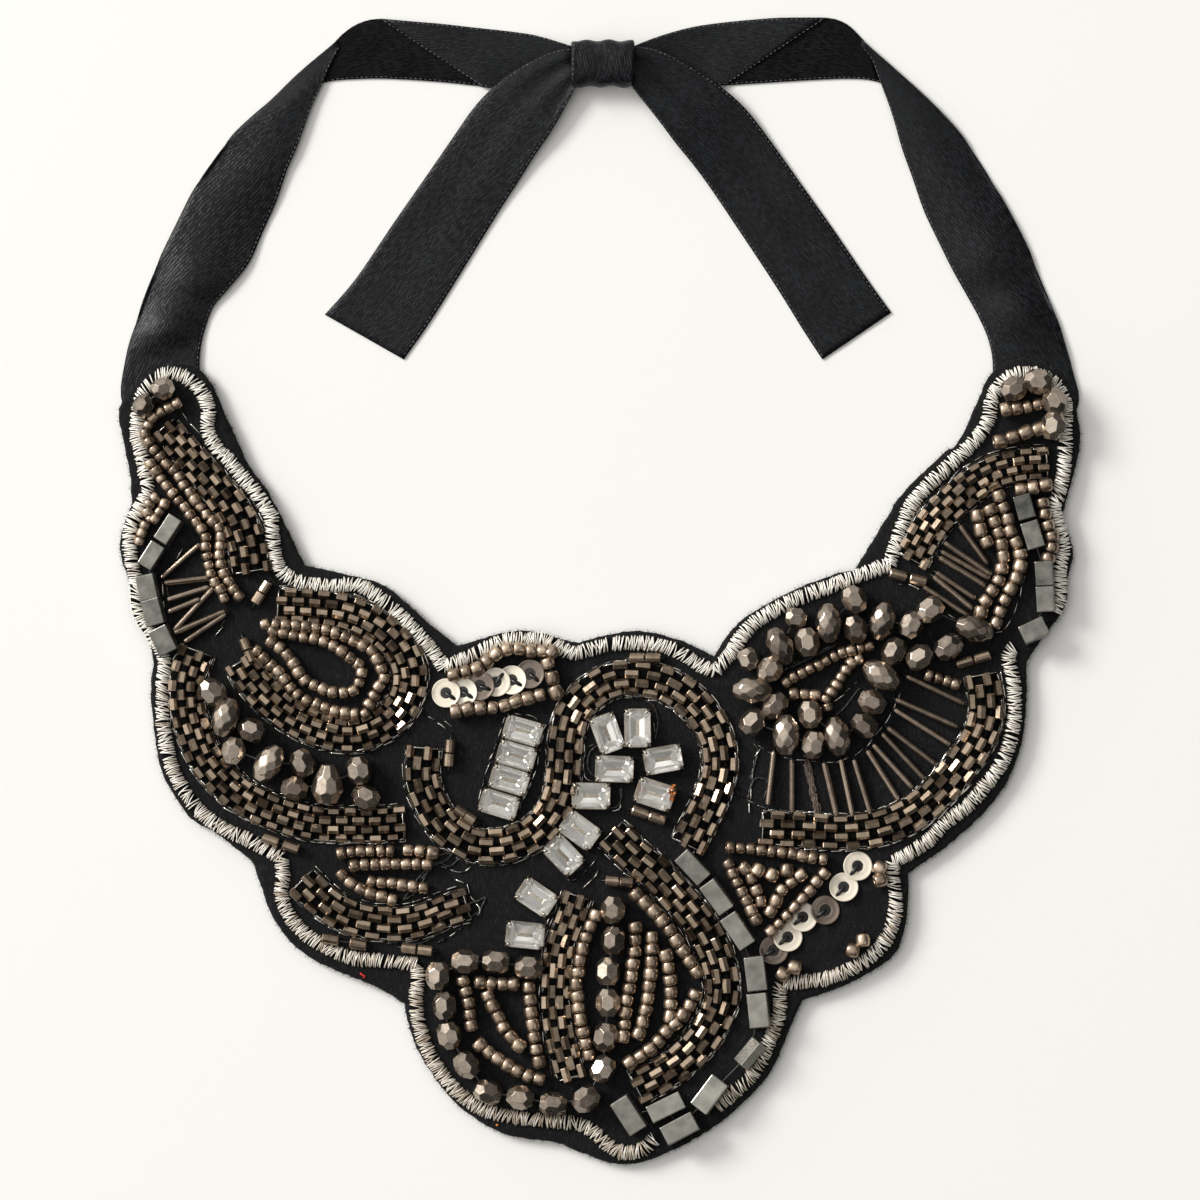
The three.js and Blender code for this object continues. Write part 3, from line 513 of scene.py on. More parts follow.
def glass_finish():
    finish = Finish("stone_glass", (0.98, 0.985, 0.98), 0.0)
    finish.settle("Transmission Weight", 1.0)
    finish.settle("IOR", 1.54)
    wear = finish.ramp(finish.noise(900.0, 5), 0.66, 0.85, 0.0, 0.06)
    finish.link(wear, finish.shader.inputs["Roughness"])
    return finish.material


def foil_finish():
    finish = Finish("stone_foil", (0.97, 0.96, 0.94), 0.1, 0.55)
    cloud = finish.ramp(finish.noise(500.0, 3), 0.5, 0.85)
    finish.paint(finish.mix(cloud, (1.0, 0.985, 0.955), (0.80, 0.77, 0.70)))
    return finish.material


def sequin_finish(name, dark, light, roughness, metallic):
    finish = Finish(name, light, roughness, metallic)
    finish.tones(dark, light, 0.25, 500.0)
    finish.settle("Coat Weight", 0.6)
    finish.settle("Coat Roughness", 0.15)
    return finish.material


FELT = felt_finish()
SATIN = satin_finish("satin_face", 0.36, (0.0046, 0.0051, 0.0060), 0.17)
SATIN_BACK = satin_finish("satin_back", 0.55, (0.0036, 0.0036, 0.0037), 0.04)
SILVER = thread_finish("silver_thread", (0.38, 0.30, 0.21), (1.0, 0.96, 0.88), 0.12, 0.42)
BLACK_THREAD = thread_finish("black_thread", (0.006, 0.006, 0.006), (0.03, 0.028, 0.026), 0.0, 0.3)
SELVEDGE = thread_finish("selvedge_thread", (0.015, 0.015, 0.016), (0.12, 0.122, 0.128), 0.0, 0.4)
CORE = thread_finish("black_padding", (0.002, 0.002, 0.002), (0.005, 0.005, 0.005), 0.0, 0.8, 0.05)
# Black thread painted from near black to pale grey and made metallic: the grey is a painted highlight
# standing for its glints.
GLINT_THREAD = thread_finish("black_thread_painted_glints", (0.02, 0.018, 0.016), (0.8, 0.77, 0.72), 0.85, 0.2)
SEED = bead_finish("bronze_seed", (0.20, 0.145, 0.105), (0.53, 0.41, 0.305), 0.26, 0.9, coat=0.2)
CUT = bead_finish("bronze_cut", (0.10, 0.072, 0.05), (0.42, 0.33, 0.245), 0.24, 0.92)
BUGLE = bead_finish("bronze_bugle", (0.12, 0.09, 0.068), (0.36, 0.285, 0.225), 0.22, 0.92)
FACETED = bead_finish("gunmetal_facet", (0.15, 0.122, 0.10), (0.50, 0.425, 0.35), 0.21, 0.95, coat=0.2)
HEMATITE = bead_finish("grey_block", (0.035, 0.037, 0.035), (0.37, 0.36, 0.315), 0.24, 0.6, 350.0, 0.0, 0.08)
SETTING = bead_finish("claw_metal", (0.22, 0.18, 0.13), (0.62, 0.56, 0.46), 0.28, 0.95)
FRAYED = thread_finish("frayed_strands", (0.02, 0.015, 0.012), (0.20, 0.15, 0.12), 0.2, 0.5)
GLASS = glass_finish()
FOIL = foil_finish()
PEARL = sequin_finish("sequin_pearl", (0.62, 0.55, 0.43), (0.88, 0.81, 0.68), 0.3, 0.1)
DARK_SEQUIN = sequin_finish("sequin_dark", (0.05, 0.042, 0.038), (0.26, 0.20, 0.155), 0.2, 0.7)
RED = thread_finish("red_thread", (0.5, 0.01, 0.01), (0.8, 0.03, 0.02), 0.0, 0.6)
RUST = thread_finish("rust_stain", (0.32, 0.09, 0.01), (0.65, 0.22, 0.03), 0.0, 0.5)


def finish_piece(heap, name, materials, slot, *nodes):
    piece = heap.build(name, materials)
    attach(piece, "root")
    if nodes:
        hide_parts(*nodes)
    return piece


# Small shapes, along X
def seed_shape():
    """A rounded bead with a hole."""
    rows = [(-0.40, 0.30), (-0.5, 0.5), (-0.48, 0.78), (-0.38, 0.93), (-0.18, 1.0), (0.18, 1.0),
            (0.38, 0.93), (0.48, 0.78), (0.5, 0.5), (0.40, 0.30)]
    return lathe([(a * SEED_LENGTH, r * SEED_RADIUS) for a, r in rows], 16, closed=True)


def ring_planes(count, latitude, distance, offset=0.0):
    """Facets in one ring about X, at a latitude in degrees and a distance from the middle."""
    up = math.sin(math.radians(latitude))
    out = math.cos(math.radians(latitude))
    return [
        ((up, out * math.cos(2 * math.pi * (k + offset) / count),
          out * math.sin(2 * math.pi * (k + offset) / count)), distance)
        for k in range(count)
    ]


def faceted_shape():
    """A bead of unit size, cut in three rows of facets round its thread."""
    planes = ring_planes(7, 0, 0.47)
    for side in (-1, 1):
        planes += ring_planes(7, side * 40, 0.50, 0.5)
        planes.append(((side, 0, 0), 0.46))
    return cut_by_planes(planes, 0.010)


def long_facet_shape():
    """An oval bead of unit size: long facets with shorter ones at both ends."""
    planes = ring_planes(9, 0, 0.48)
    for side in (-1, 1):
        planes += ring_planes(9, side * 24, 0.477, 0.5)
        planes += ring_planes(9, side * 50, 0.47, 0.0)
        planes.append(((side, 0, 0), 0.47))
    return cut_by_planes(planes, 0.022)


def block_shape(long, wide, high):
    """A block with bevelled edges."""
    halves = (-0.5, 0.5)
    points = [(x * long, y * wide, z * high) for x in halves for y in halves for z in halves]
    return bevelled(points, 0.22 * MM, segments=2)


def cut_tube_shape(length, radius, sides=6):
    """A tube with flat sides and softened ends."""
    rows = [(-0.5, 0.62), (-0.5, 0.86), (-0.44, 1.0), (0.44, 1.0), (0.5, 0.86), (0.5, 0.62)]
    return lathe([(a * length, r * radius) for a, r in rows], sides, smooth=False)


SEED_SHAPE = seed_shape()
FACETED_SHAPE = faceted_shape()
OVAL_SHAPE = long_facet_shape()
CUT_SHAPE = cut_tube_shape(CUT_LENGTH, CUT_RADIUS)
SHORT_TUBE = cut_tube_shape(TUBE_LENGTH, TUBE_RADIUS, 12)


# The felt panel
PANEL_LOBES = [
    [(304, 565), (345, 574), (386, 587), (426, 621), (457, 646)],
    [(457, 646), (478, 640), (502, 633), (527, 631), (560, 639), (579, 643)],
    [(579, 643), (606, 635), (640, 631), (682, 641), (714, 656)],
    [(714, 656), (739, 623), (785, 594), (833, 575), (855, 570)],
    [(855, 570), (888, 517), (902, 495), (943, 454), (958, 444), (976, 407), (994, 371), (1025, 358),
     (1062, 375), (1077, 411), (1081, 442), (1072, 483), (1062, 519)],
    [(1062, 519), (1074, 550), (1068, 579), (1066, 605), (1041, 642), (1027, 662)],
    [(1027, 662), (1027, 700), (1021, 749), (998, 797), (954, 841), (909, 873)],
    [(909, 873), (909, 900), (903, 938), (888, 961), (842, 987), (802, 1001)],
    [(802, 1001), (788, 1034), (767, 1078), (725, 1119), (676, 1149), (625, 1165), (579, 1152),
     (556, 1143), (501, 1133), (455, 1103), (421, 1057), (409, 1027), (404, 1004)],
    [(404, 1004), (375, 987), (317, 962), (289, 941), (271, 914), (259, 882), (252, 862)],
    [(252, 862), (218, 835), (188, 816), (162, 774), (154, 735), (150, 690), (152, 655), (139, 609),
     (126, 575), (119, 550), (122, 528), (131, 505)],
    [(131, 505), (129, 473), (122, 438), (119, 407), (142, 378), (176, 362), (206, 377), (228, 422),
     (248, 465), (267, 491), (287, 530), (304, 565)],
]
OUTLINE_STEP = 0.9 * MM
FELT_ROUND = 0.7 * MM
FELT_GRID = 3.2 * MM
RIBBON_RECESS = 1.3 * MM
EDGE_FIBRES, FACE_FIBRES = 2600, 9000
TIP_FOOT, TIP_INNER_LEFT, TIP_INNER_RIGHT = 436, 212, 986


def panel_outline():
    """Points round the felt's scalloped edge, with the ripple of a hand's cut."""
    outline = []
    for lobe in PANEL_LOBES:
        route = Route(lobe)
        count = max(4, round(route.length / OUTLINE_STEP))
        for index in range(count):
            ripple = 0.24 * MM * (RNG.random() - 0.5)
            outline.append(route.offset(route.length * index / count, ripple))
    return np.array(outline)


OUTLINE = panel_outline()


def edge_distance(points):
    """How far each point lies from the felt's edge."""
    starts = OUTLINE
    runs = np.roll(OUTLINE, -1, axis=0) - starts
    best = np.full(len(points), 1e9)
    for start, run in zip(starts, runs):
        rel = points - start
        share = np.clip((rel @ run) / max(run @ run, 1e-12), 0, 1)
        best = np.minimum(best, np.linalg.norm(rel - share[:, None] * run, axis=1))
    return best


def inside_outline(points):
    """Which points lie on the felt."""
    x, y = points[:, 0], points[:, 1]
    inside = np.zeros(len(points), dtype=bool)
    ends = np.roll(OUTLINE, -1, axis=0)
    for (ax, ay), (bx, by) in zip(OUTLINE, ends):
        if ay == by:
            continue
        crosses = (ay > y) != (by > y)
        inside ^= crosses & (x < (bx - ax) * (y - ay) / (by - ay) + ax)
    return inside


def edge_rings():
    """Rows of points that follow the felt's edge a little way in."""
    run = np.roll(OUTLINE, -2, axis=0) - np.roll(OUTLINE, 2, axis=0)
    normal = np.stack((-run[:, 1], run[:, 0]), axis=1)
    normal /= np.linalg.norm(normal, axis=1)[:, None]
    rings = []
    for depth in (0.25 * MM, FELT_ROUND):
        for side in (1, -1):
            ring = OUTLINE[::2] + side * depth * normal[::2]
            keep = inside_outline(ring)
            if keep.mean() > 0.5:
                ring = ring[keep]
                rings.append(ring[edge_distance(ring) > 0.8 * depth])
    return rings


def felt_grid():
    """A grid of points over the felt, clear of its edge."""
    xs = np.arange(PANEL_LOW.x, PANEL_HIGH.x, FELT_GRID)
    ys = np.arange(PANEL_LOW.y, PANEL_HIGH.y, FELT_GRID)
    grid = np.array([(x, y) for x in xs for y in ys])
    grid = grid[inside_outline(grid)]
    return grid[edge_distance(grid) > 1.3 * MM]


def open_edges(faces):
    """The edges that only one face uses."""
    uses = {(a, b): True for face in faces for a, b in zip(face, face[1:] + face[:1])}
    return [(a, b) for a, b in uses if (b, a) not in uses]


def felt_panel():
    """Face, back and wall of the felt, rounded at the edge and a little wavy."""
    points = np.concatenate([OUTLINE, *edge_rings(), felt_grid()])
    count = len(OUTLINE)
    edges = [(index, (index + 1) % count) for index in range(count)]
    flat, _, faces, *_ = delaunay_2d_cdt([Vector(point) for point in points], edges, [], 1, 1e-7)
    flat = np.array([tuple(point) for point in flat])
    depth = np.clip(edge_distance(flat) / FELT_ROUND, 0, 1)
    rounding = 1 - np.sqrt(1 - (1 - depth) ** 2)
    wave = 0.06 * MM * np.sin(flat[:, 0] * 210) * np.cos(flat[:, 1] * 170)
    top = FELT_TOP - 0.55 * MM * rounding + wave * depth
    base = FELT_BASE + 0.35 * MM * rounding
    base = np.where(under_tip(flat), FELT_BASE + RIBBON_RECESS, base)
    total = len(flat)
    solid = np.concatenate([np.column_stack((flat, top)), np.column_stack((flat, base))])
    walls = [(b, a, a + total, b + total) for a, b in open_edges(faces)]
    lower = [tuple(corner + total for corner in reversed(face)) for face in faces]
    heap = Heap()
    heap.add(Shape(solid, [tuple(face) for face in faces] + lower + walls))
    return finish_piece(heap, "felt_panel", [FELT], "felt", "bib_panel")


def under_tip(points):
    """Where the ribbon's end lies in its recess under an arm's tip."""
    left, foot = at(TIP_INNER_LEFT, TIP_FOOT)
    right = at(TIP_INNER_RIGHT, TIP_FOOT)[0]
    return ((points[:, 0] < left) | (points[:, 0] > right)) & (points[:, 1] > foot)


def edge_fibre():
    """A loose fibre that stands out of the felt's edge."""
    index = RNG.randrange(len(OUTLINE))
    place = OUTLINE[index]
    run = OUTLINE[(index + 1) % len(OUTLINE)] - place
    out = left_of(run) / max(np.linalg.norm(run), 1e-9)
    angle = RNG.uniform(-1.2, 1.2)
    away = out * math.cos(angle) + left_of(out) * math.sin(angle)
    length = RNG.uniform(0.25, 0.75) * MM
    z = FELT_BASE + RNG.uniform(0.3, 2.2) * MM
    bend = RNG.uniform(-0.3, 0.3) * MM * left_of(away)
    points = [(*(place - 0.3 * MM * away), z), (*(place + 0.5 * length * away + 0.4 * bend), z),
              (*(place + length * away + bend), z + RNG.uniform(-0.2, 0.3) * MM)]
    return tube(points, 0.022 * MM, 3)


def lying_fibre(place):
    """A loose fibre that lies on the felt's face."""
    turn = RNG.uniform(0, 2 * math.pi)
    away = np.array((math.cos(turn), math.sin(turn)))
    length = RNG.uniform(0.5, 1.6) * MM
    bend = RNG.uniform(-0.4, 0.4) * MM * left_of(away)
    z = FELT_TOP + RNG.uniform(-0.02, 0.10) * MM
    points = [(*place, z - 0.1 * MM), (*(place + 0.5 * length * away + bend), z + 0.05 * MM),
              (*(place + length * away), z - 0.05 * MM)]
    return tube(points, 0.024 * MM, 3)


def felt_fuzz():
    """The felt's loose fibres, at its edge and on its face."""
    heap = Heap()
    for _ in range(EDGE_FIBRES):
        heap.add(edge_fibre(), tone=RNG.random())
    low, high = PANEL_LOW, PANEL_HIGH
    spots = np.array([(RNG.uniform(low.x, high.x), RNG.uniform(low.y, high.y)) for _ in range(FACE_FIBRES)])
    for place in spots[inside_outline(spots)]:
        heap.add(lying_fibre(place), tone=RNG.random() ** 2)
    return finish_piece(heap, "felt_fibres", [BLACK_THREAD], "felt")


# The stitched border: stitches that are lost, how each rises from edge to edge, and its thread
USUAL_LOSS, WORN_LOSS = 0.03, 0.16
STITCH_SHARES = (-1, -0.93, -0.7, -0.35, 0, 0.35, 0.7, 0.93, 1)
STITCH_RADII = (0.11 * MM, 0.155 * MM)
STITCH_SUNK = 0.05 * MM
STITCH_SLANT = 0.12
DULL_BELOW, BRIGHT_ABOVE = 1100, 560
DULL_TONE, BRIGHT_TONE = 0.36, 1.0
BORDER_MAIN = [
    [(655, 1138), (643, 1149), (627, 1153), (611, 1147), (595, 1133), (579, 1124), (556, 1121),
     (529, 1119), (501, 1115), (480, 1108), (460, 1094), (441, 1073), (428, 1051), (419, 1025),
     (416, 1000), (418, 977), (416, 964)],
    [(416, 964), (398, 962), (375, 960), (352, 958), (331, 950), (312, 939), (296, 925), (285, 908),
     (281, 891), (283, 876), (281, 858)],
    [(281, 858), (265, 849), (246, 839), (226, 830), (207, 818), (192, 803), (181, 786), (171, 766),
     (166, 745), (163, 724), (162, 701), (162, 682), (164, 660), (152, 636), (138, 612), (135, 579),
     (131, 560), (129, 540), (131, 524), (139, 509), (145, 497), (147, 483), (144, 471), (141, 454),
     (137, 438), (137, 421), (139, 405), (142, 394), (151, 382), (164, 374), (177, 374), (192, 382),
     (203, 395), (208, 411), (207, 429), (215, 446), (228, 460), (240, 475), (251, 487), (261, 501),
     (270, 516), (272, 536), (274, 552), (280, 571)],
    [(280, 571), (296, 581), (316, 585), (336, 586), (356, 585), (374, 594), (395, 611), (415, 631),
     (430, 648), (444, 667)],
    [(444, 667), (455, 663), (470, 656), (489, 647), (508, 640), (528, 639), (547, 640), (560, 648),
     (575, 654)],
    [(575, 654), (591, 649), (608, 645), (630, 643), (659, 645), (682, 654), (701, 666), (715, 671)],
    [(715, 671), (731, 653), (749, 628), (773, 611), (797, 599), (826, 588), (850, 579), (872, 571),
     (890, 564)],
    [(890, 564), (896, 546), (902, 528), (913, 503), (931, 483), (953, 462), (974, 442), (988, 422),
     (992, 401), (1000, 385), (1015, 375), (1029, 373), (1045, 377), (1058, 387), (1066, 405),
     (1066, 426), (1066, 446), (1064, 471), (1060, 491), (1055, 509), (1060, 530), (1064, 548),
     (1060, 571), (1061, 595), (1055, 612)],
]
BORDER_RIGHT = [
    [(1014, 647), (1009, 657), (1013, 676), (1015, 698), (1015, 717), (1010, 744), (1000, 766),
     (986, 785), (969, 805), (947, 822), (928, 841), (907, 855), (893, 862)],
    [(893, 862), (893, 877), (896, 896), (895, 916), (888, 937), (874, 954), (855, 967), (832, 977),
     (809, 981), (794, 983)],
    [(794, 983), (781, 987), (780, 1004), (777, 1023), (769, 1042), (761, 1061), (748, 1080),
     (731, 1095), (717, 1107)],
]


def ragged(distance):
    """Patches of the border where threads are worn away."""
    return math.sin(distance / (9 * MM)) + 0.6 * math.sin(distance / (3.7 * MM) + 1) > 0.75


def border_light(y):
    """The stitches shine at the top of the bib and turn dull and golden towards its foot."""
    foot, top = at(0, DULL_BELOW)[1], at(0, BRIGHT_ABOVE)[1]
    return float(np.interp(y, (foot, top), (DULL_TONE, BRIGHT_TONE)))


def stitch(route, distance, slant):
    """One thread over the padding, slanted to the border's run, with a tone for its place."""
    along = route.along(distance)
    across = left_of(along) * math.cos(slant) + along * math.sin(slant)
    middle = route.offset(distance, RNG.gauss(0, 0.07) * MM)
    half = BORDER_WIDTH * RNG.uniform(0.44, 0.56)
    lift = BORDER_HEIGHT * RNG.uniform(0.92, 1.1)
    bow = along * RNG.gauss(0.08, 0.08) * MM
    points = []
    for share in STITCH_SHARES:
        x, y = middle + across * half * share + bow * (1 - share ** 2)
        points.append((x, y, FELT_TOP + lift * arched(share) - STITCH_SUNK))
    tone = shade(border_light(middle[1]), 0.24)
    return tube(points, RNG.uniform(*STITCH_RADII), 5), tone


def stitched_border(name, stretches):
    """A padded core under satin stitches of silver thread, each a little off its neighbours."""
    heap = Heap()
    for stretch in stretches:
        route = Route(stretch)
        core = dome(BORDER_WIDTH * 0.86, BORDER_HEIGHT * 0.82)
        heap.add(sweep(route, core, 1.2 * MM), slot=1, tone=0.3)
        drift = 0.0
        for distance in route.spaced(STITCH_PITCH):
            if RNG.random() < (WORN_LOSS if ragged(distance) else USUAL_LOSS):
                continue
            drift = 0.75 * drift + RNG.gauss(0, 0.10)
            thread, tone = stitch(route, distance, STITCH_SLANT + drift + RNG.gauss(0, 0.14))
            heap.add(thread, tone=tone)
    return finish_piece(heap, name + "_stitches", [SILVER, CORE], "silver_stitch", name)


# The woven bands of cut tube beads
BANDS = {
    "band_left_arm": (0.82, 1.2, [(164, 426), (190, 457), (214, 485), (234, 513), (246, 542), (251, 572)]),
    "band_left_eye": (1, 1, [
        (277, 605), (313, 607), (342, 611), (368, 621), (389, 636), (404, 655), (410, 680), (402, 705),
        (381, 725), (352, 735), (322, 730), (293, 717), (268, 697), (250, 677), (240, 661)]),
    "band_left_outer": (1, 1, [
        (197, 650), (187, 678), (187, 706), (194, 733), (206, 760), (225, 783), (247, 800), (276, 813),
        (310, 823), (344, 825), (377, 825), (404, 823)]),
    "band_centre": (1, 1, [
        (424, 747), (422, 778), (431, 804), (446, 827), (466, 841), (480, 846), (505, 845), (529, 836),
        (548, 819), (560, 795), (564, 765), (566, 737), (573, 713), (590, 693), (613, 680), (640, 679),
        (665, 684), (687, 697), (705, 716), (717, 740), (720, 768), (712, 797), (701, 820), (688, 846)]),
    "band_lower_left": (1, 0.9, [
        (301, 880), (322, 900), (345, 915), (371, 922), (400, 924), (425, 919), (447, 910), (467, 904)]),
    "band_right_arm": (0.9, 1, [
        (1048, 463), (1020, 465), (994, 472), (972, 485), (952, 503), (935, 520), (923, 539), (911, 560)]),
    "band_right_fan": (1, 1, [
        (982, 674), (986, 698), (985, 722), (975, 745), (960, 767), (943, 787), (923, 806), (900, 820),
        (873, 829), (840, 832), (805, 830), (762, 828)]),
    "band_leaf_spine": (0.8, 0.85, [
        (578, 895), (569, 922), (560, 948), (557, 976), (556, 1003), (559, 1031), (565, 1057), (571, 1078)]),
    "band_leaf_arc": (1, 1, [
        (611, 832), (632, 853), (655, 872), (677, 896), (698, 921), (713, 947), (721, 972), (722, 998),
        (714, 1020), (700, 1042), (680, 1062), (657, 1077), (636, 1088)]),
}


def dash(route, distance, run, side, lift):
    """One stitch of black thread that lies beside a row and dips at both ends; its tone paints a glint on
    it.
    """
    points = []
    skew = RNG.gauss(0, 0.10) * MM
    for share in np.linspace(0, 1, 5):
        x, y = route.offset(distance + run * share, side + skew * (2 * share - 1))
        points.append((x, y, FELT_TOP + lift * (0.45 + 0.55 * math.sin(math.pi * share))))
    return tube(points, RNG.uniform(0.13, 0.18) * MM, 5)


# The bands woven of shorter beads, and how short; the beads' turns, and the size and depth of the near-black
# matte shapes in the gaps
FINE_BANDS = ("band_left_arm", "band_left_eye", "band_left_outer", "band_right_arm")
FINE_GRAIN = 0.8
WEAVE_ROLLS = (-0.3, 0.0, 0.25, 0.5)
GAP_SCALE = (0.55, 0.7, 0.6)
GAP_SUNK = 0.5 * MM


def weave_beads(heap, route, width, grain):
    """Cut beads in a checker, with near-black matte shapes, sunk deeper, in the gaps."""
    count = round(route.length / (BAND_PITCH * grain))
    pitch = route.length / count
    for row in range(BAND_ROWS):
        level = row / (BAND_ROWS - 1) * 2 - 1
        for index in range(count):
            distance = (index + 0.28 + 0.5 * (row % 2)) * pitch
            if distance > route.length:
                continue
            side = level * 0.42 * width(distance / route.length)
            x, y = route.offset(distance, side + RNG.gauss(0, 0.05) * MM)
            z = FELT_TOP + BAND_HEIGHT * arched(0.86 * level) + 0.05 * MM
            roll = level * -0.9 + RNG.choice(WEAVE_ROLLS) + RNG.gauss(0, 0.12)
            stretch = (grain * RNG.uniform(0.9, 1.06), 1, 1)
            tilt = aimed(route.along(distance), RNG.gauss(0, 0.05), roll, stretch)
            heap.add(CUT_SHAPE, tilt, (x, y, z), tone=shade(0.55, 0.3))
            gap = distance + pitch / 2
            if gap < route.length:
                tilt = aimed(route.along(gap), 0, 0, GAP_SCALE)
                place = (*route.offset(gap, side), z - GAP_SUNK)
                heap.add(CUT_SHAPE, tilt, place, slot=1, tone=RNG.random())


def edge_strands(heap, route, width):
    """Two black threads in short stitches along each edge of a band, each stitch a random tone from black to
    pale grey: painted glints.
    """
    for side in (-1, 1):
        for strand in range(2):
            distance = RNG.uniform(0, 1) * MM
            while distance < route.length - 1 * MM:
                run = RNG.uniform(1.7, 3.0) * MM
                reach = (0.49 + 0.055 * strand) * width(distance / route.length)
                lift = (0.75 - 0.4 * strand) * MM
                # Each stitch's random tone paints a glint on the black thread.
                heap.add(dash(route, distance, run, side * reach, lift), slot=2, tone=RNG.random() ** 1.6)
                distance += run + RNG.uniform(-0.2, 0.5) * MM


def end_strands(heap, route, width):
    """One black thread over each end of a band, painted mid grey: a painted sheen."""
    for distance in (0.2 * MM, route.length - 0.2 * MM):
        wide = width(distance / route.length)
        points = []
        for share in np.linspace(-0.5, 0.5, 9):
            x, y = route.offset(distance, share * wide)
            height = BAND_HEIGHT * arched(2 * share) + 0.3 * MM
            points.append((x, y, FELT_TOP + height * RNG.uniform(0.7, 1.0)))
        heap.add(tube(points, THREAD_RADIUS, 5), slot=2, tone=0.5)


def woven_band(name, first, last, places):
    """A band of cut beads over a padded core, as wide as its first and last shares say."""
    route = Route(places)
    heap = Heap()

    def width(share):
        return BAND_WIDTH * (first + (last - first) * share)

    heap.add(sweep(route, dome(0.84, BAND_HEIGHT * 0.86), 1.5 * MM, width), slot=1, tone=0.1)
    weave_beads(heap, route, width, FINE_GRAIN if name in FINE_BANDS else 1.0)
    edge_strands(heap, route, width)
    end_strands(heap, route, width)
    return finish_piece(heap, name + "_weave", [CUT, CORE, GLINT_THREAD], "bronze_beads", name)


# The cut stones in their claws: centre and long direction, clockwise as the photograph shows it
CRYSTALS = [
    (523, 731, 16), (516, 756, 16), (509, 780, 17), (499, 804, 17), (607, 733, 70), (637.6, 728, 89),
    (663, 759, -10), (614, 769, 2), (591, 796, 1), (655, 794, 18), (580, 830, 36), (563, 855, 46),
    (536.5, 897, 34), (525, 934.5, 6),
]
SETTING_BASE = 0.35 * MM
STONE_LEAN = 0.035
LADDER_STONES, LADDER_WIDTH = 4, 0.93
CLAW_INSET = 0.35 * MM
CLAW_REACH = 2.2 * MM
CLAW_RADIUS = 0.26 * MM
STAIN_PLACE = (671.5, 792)
STAIN_CRUMBS = 34


def octagon(long, wide, corner, z):
    """A rectangle with cut corners, at a height."""
    x, y = long / 2, wide / 2
    return [(x, y - corner, z), (x - corner, y, z), (-x + corner, y, z), (-x, y - corner, z),
            (-x, -y + corner, z), (-x + corner, -y, z), (x - corner, -y, z), (x, -y + corner, z)]


def stacked(rings):
    """Octagon rings joined with flat facets."""
    points = [point for ring in rings for point in ring]
    return Shape(points, ring_faces(len(rings), len(rings[0]), outward=True), False)


def stone_ring(share, height):
    """A ring of the stone at a share of its width; the keel under it keeps some of its length."""
    long = STONE_LENGTH - STONE_WIDTH * (1 - share) * 0.98
    return octagon(long, STONE_WIDTH * share, STONE_CORNER * share, STONE_HEIGHT * height)


FOILED_RINGS = [(0.06, 0.0), (0.56, 0.26), (0.97, 0.46)]
GLASS_RINGS = [(1.0, 0.50), (1.0, 0.56), (0.84, 0.78), (0.64, 1.0)]


def stone_shape():
    """The clear steps above the girdle and the foiled ones under it."""
    return stacked([stone_ring(*row) for row in FOILED_RINGS + GLASS_RINGS])


def setting_shape():
    """A metal cup: an octagon tray with a rim round the stone."""
    long, wide, corner = STONE_LENGTH + 0.26 * MM, STONE_WIDTH + 0.24 * MM, STONE_CORNER
    inner_long, inner_wide = STONE_LENGTH + 0.04 * MM, STONE_WIDTH + 0.03 * MM
    rim = STONE_HEIGHT * 0.44
    outer = [octagon(long * 0.8, wide * 0.75, corner, 0), octagon(long, wide, corner, rim)]
    inner = [octagon(inner_long, inner_wide, corner, rim),
             octagon(inner_long * 0.5, inner_wide * 0.5, corner * 0.6, 0.12 * MM)]
    return stacked(outer + inner)


CLAW_PATH = [(0.10, 0.0), (0.16, 0.35), (0.12, 0.62), (-0.10, 0.80), (-0.32, 0.84)]


def claw(end, side, matrix, base):
    """One claw of a setting: end and side, each -1 or 1, say at which corner of the stone."""
    out = np.array((end, side))
    corner = out * (STONE_LENGTH, STONE_WIDTH) / 2 - out * CLAW_INSET
    points = []
    for away, up in CLAW_PATH:
        flat = corner + out / math.sqrt(2) * away * CLAW_REACH
        points.append(np.array((*flat, up * STONE_HEIGHT * 1.05)) @ matrix.T + np.array(base))
    return tube(points, CLAW_RADIUS, 6)


def crystals():
    """The stones, glass above the girdle and foiled under it, and their settings."""
    glass, metal = Heap(), Heap()
    stone, cup = stone_shape(), setting_shape()
    foiled = len(octagon(1, 1, 0, 0)) * len(FOILED_RINGS)
    keel = len(stone.sizes) - 2
    for number, (x, y, turn) in enumerate(CRYSTALS):
        lift, roll = RNG.gauss(0, STONE_LEAN), RNG.gauss(0, STONE_LEAN)
        narrow = LADDER_WIDTH if number < LADDER_STONES else 1
        matrix = aimed(direction(turn), lift, roll, (1, narrow, 1))
        base = (*at(x, y), FELT_TOP + SETTING_BASE)
        glass.add(stone, matrix, base, slot=0)
        slots = glass.slots[-1]
        slots[:foiled] = 1
        slots[keel] = 1
        metal.add(cup, matrix, base, tone=RNG.uniform(0.3, 0.8))
        for side in (-1, 1):
            for end in (-1, 1):
                metal.add(claw(end, side, matrix, base), tone=RNG.uniform(0.2, 1))
    numbers = [f"{number:02d}" for number in range(1, len(CRYSTALS) + 1)]
    finish_piece(glass, "cut_stones", [GLASS, FOIL], "crystal", *("crystal_" + n for n in numbers))
    finish_piece(metal, "claw_cups", [SETTING], "setting_metal", *("claw_setting_" + n for n in numbers))


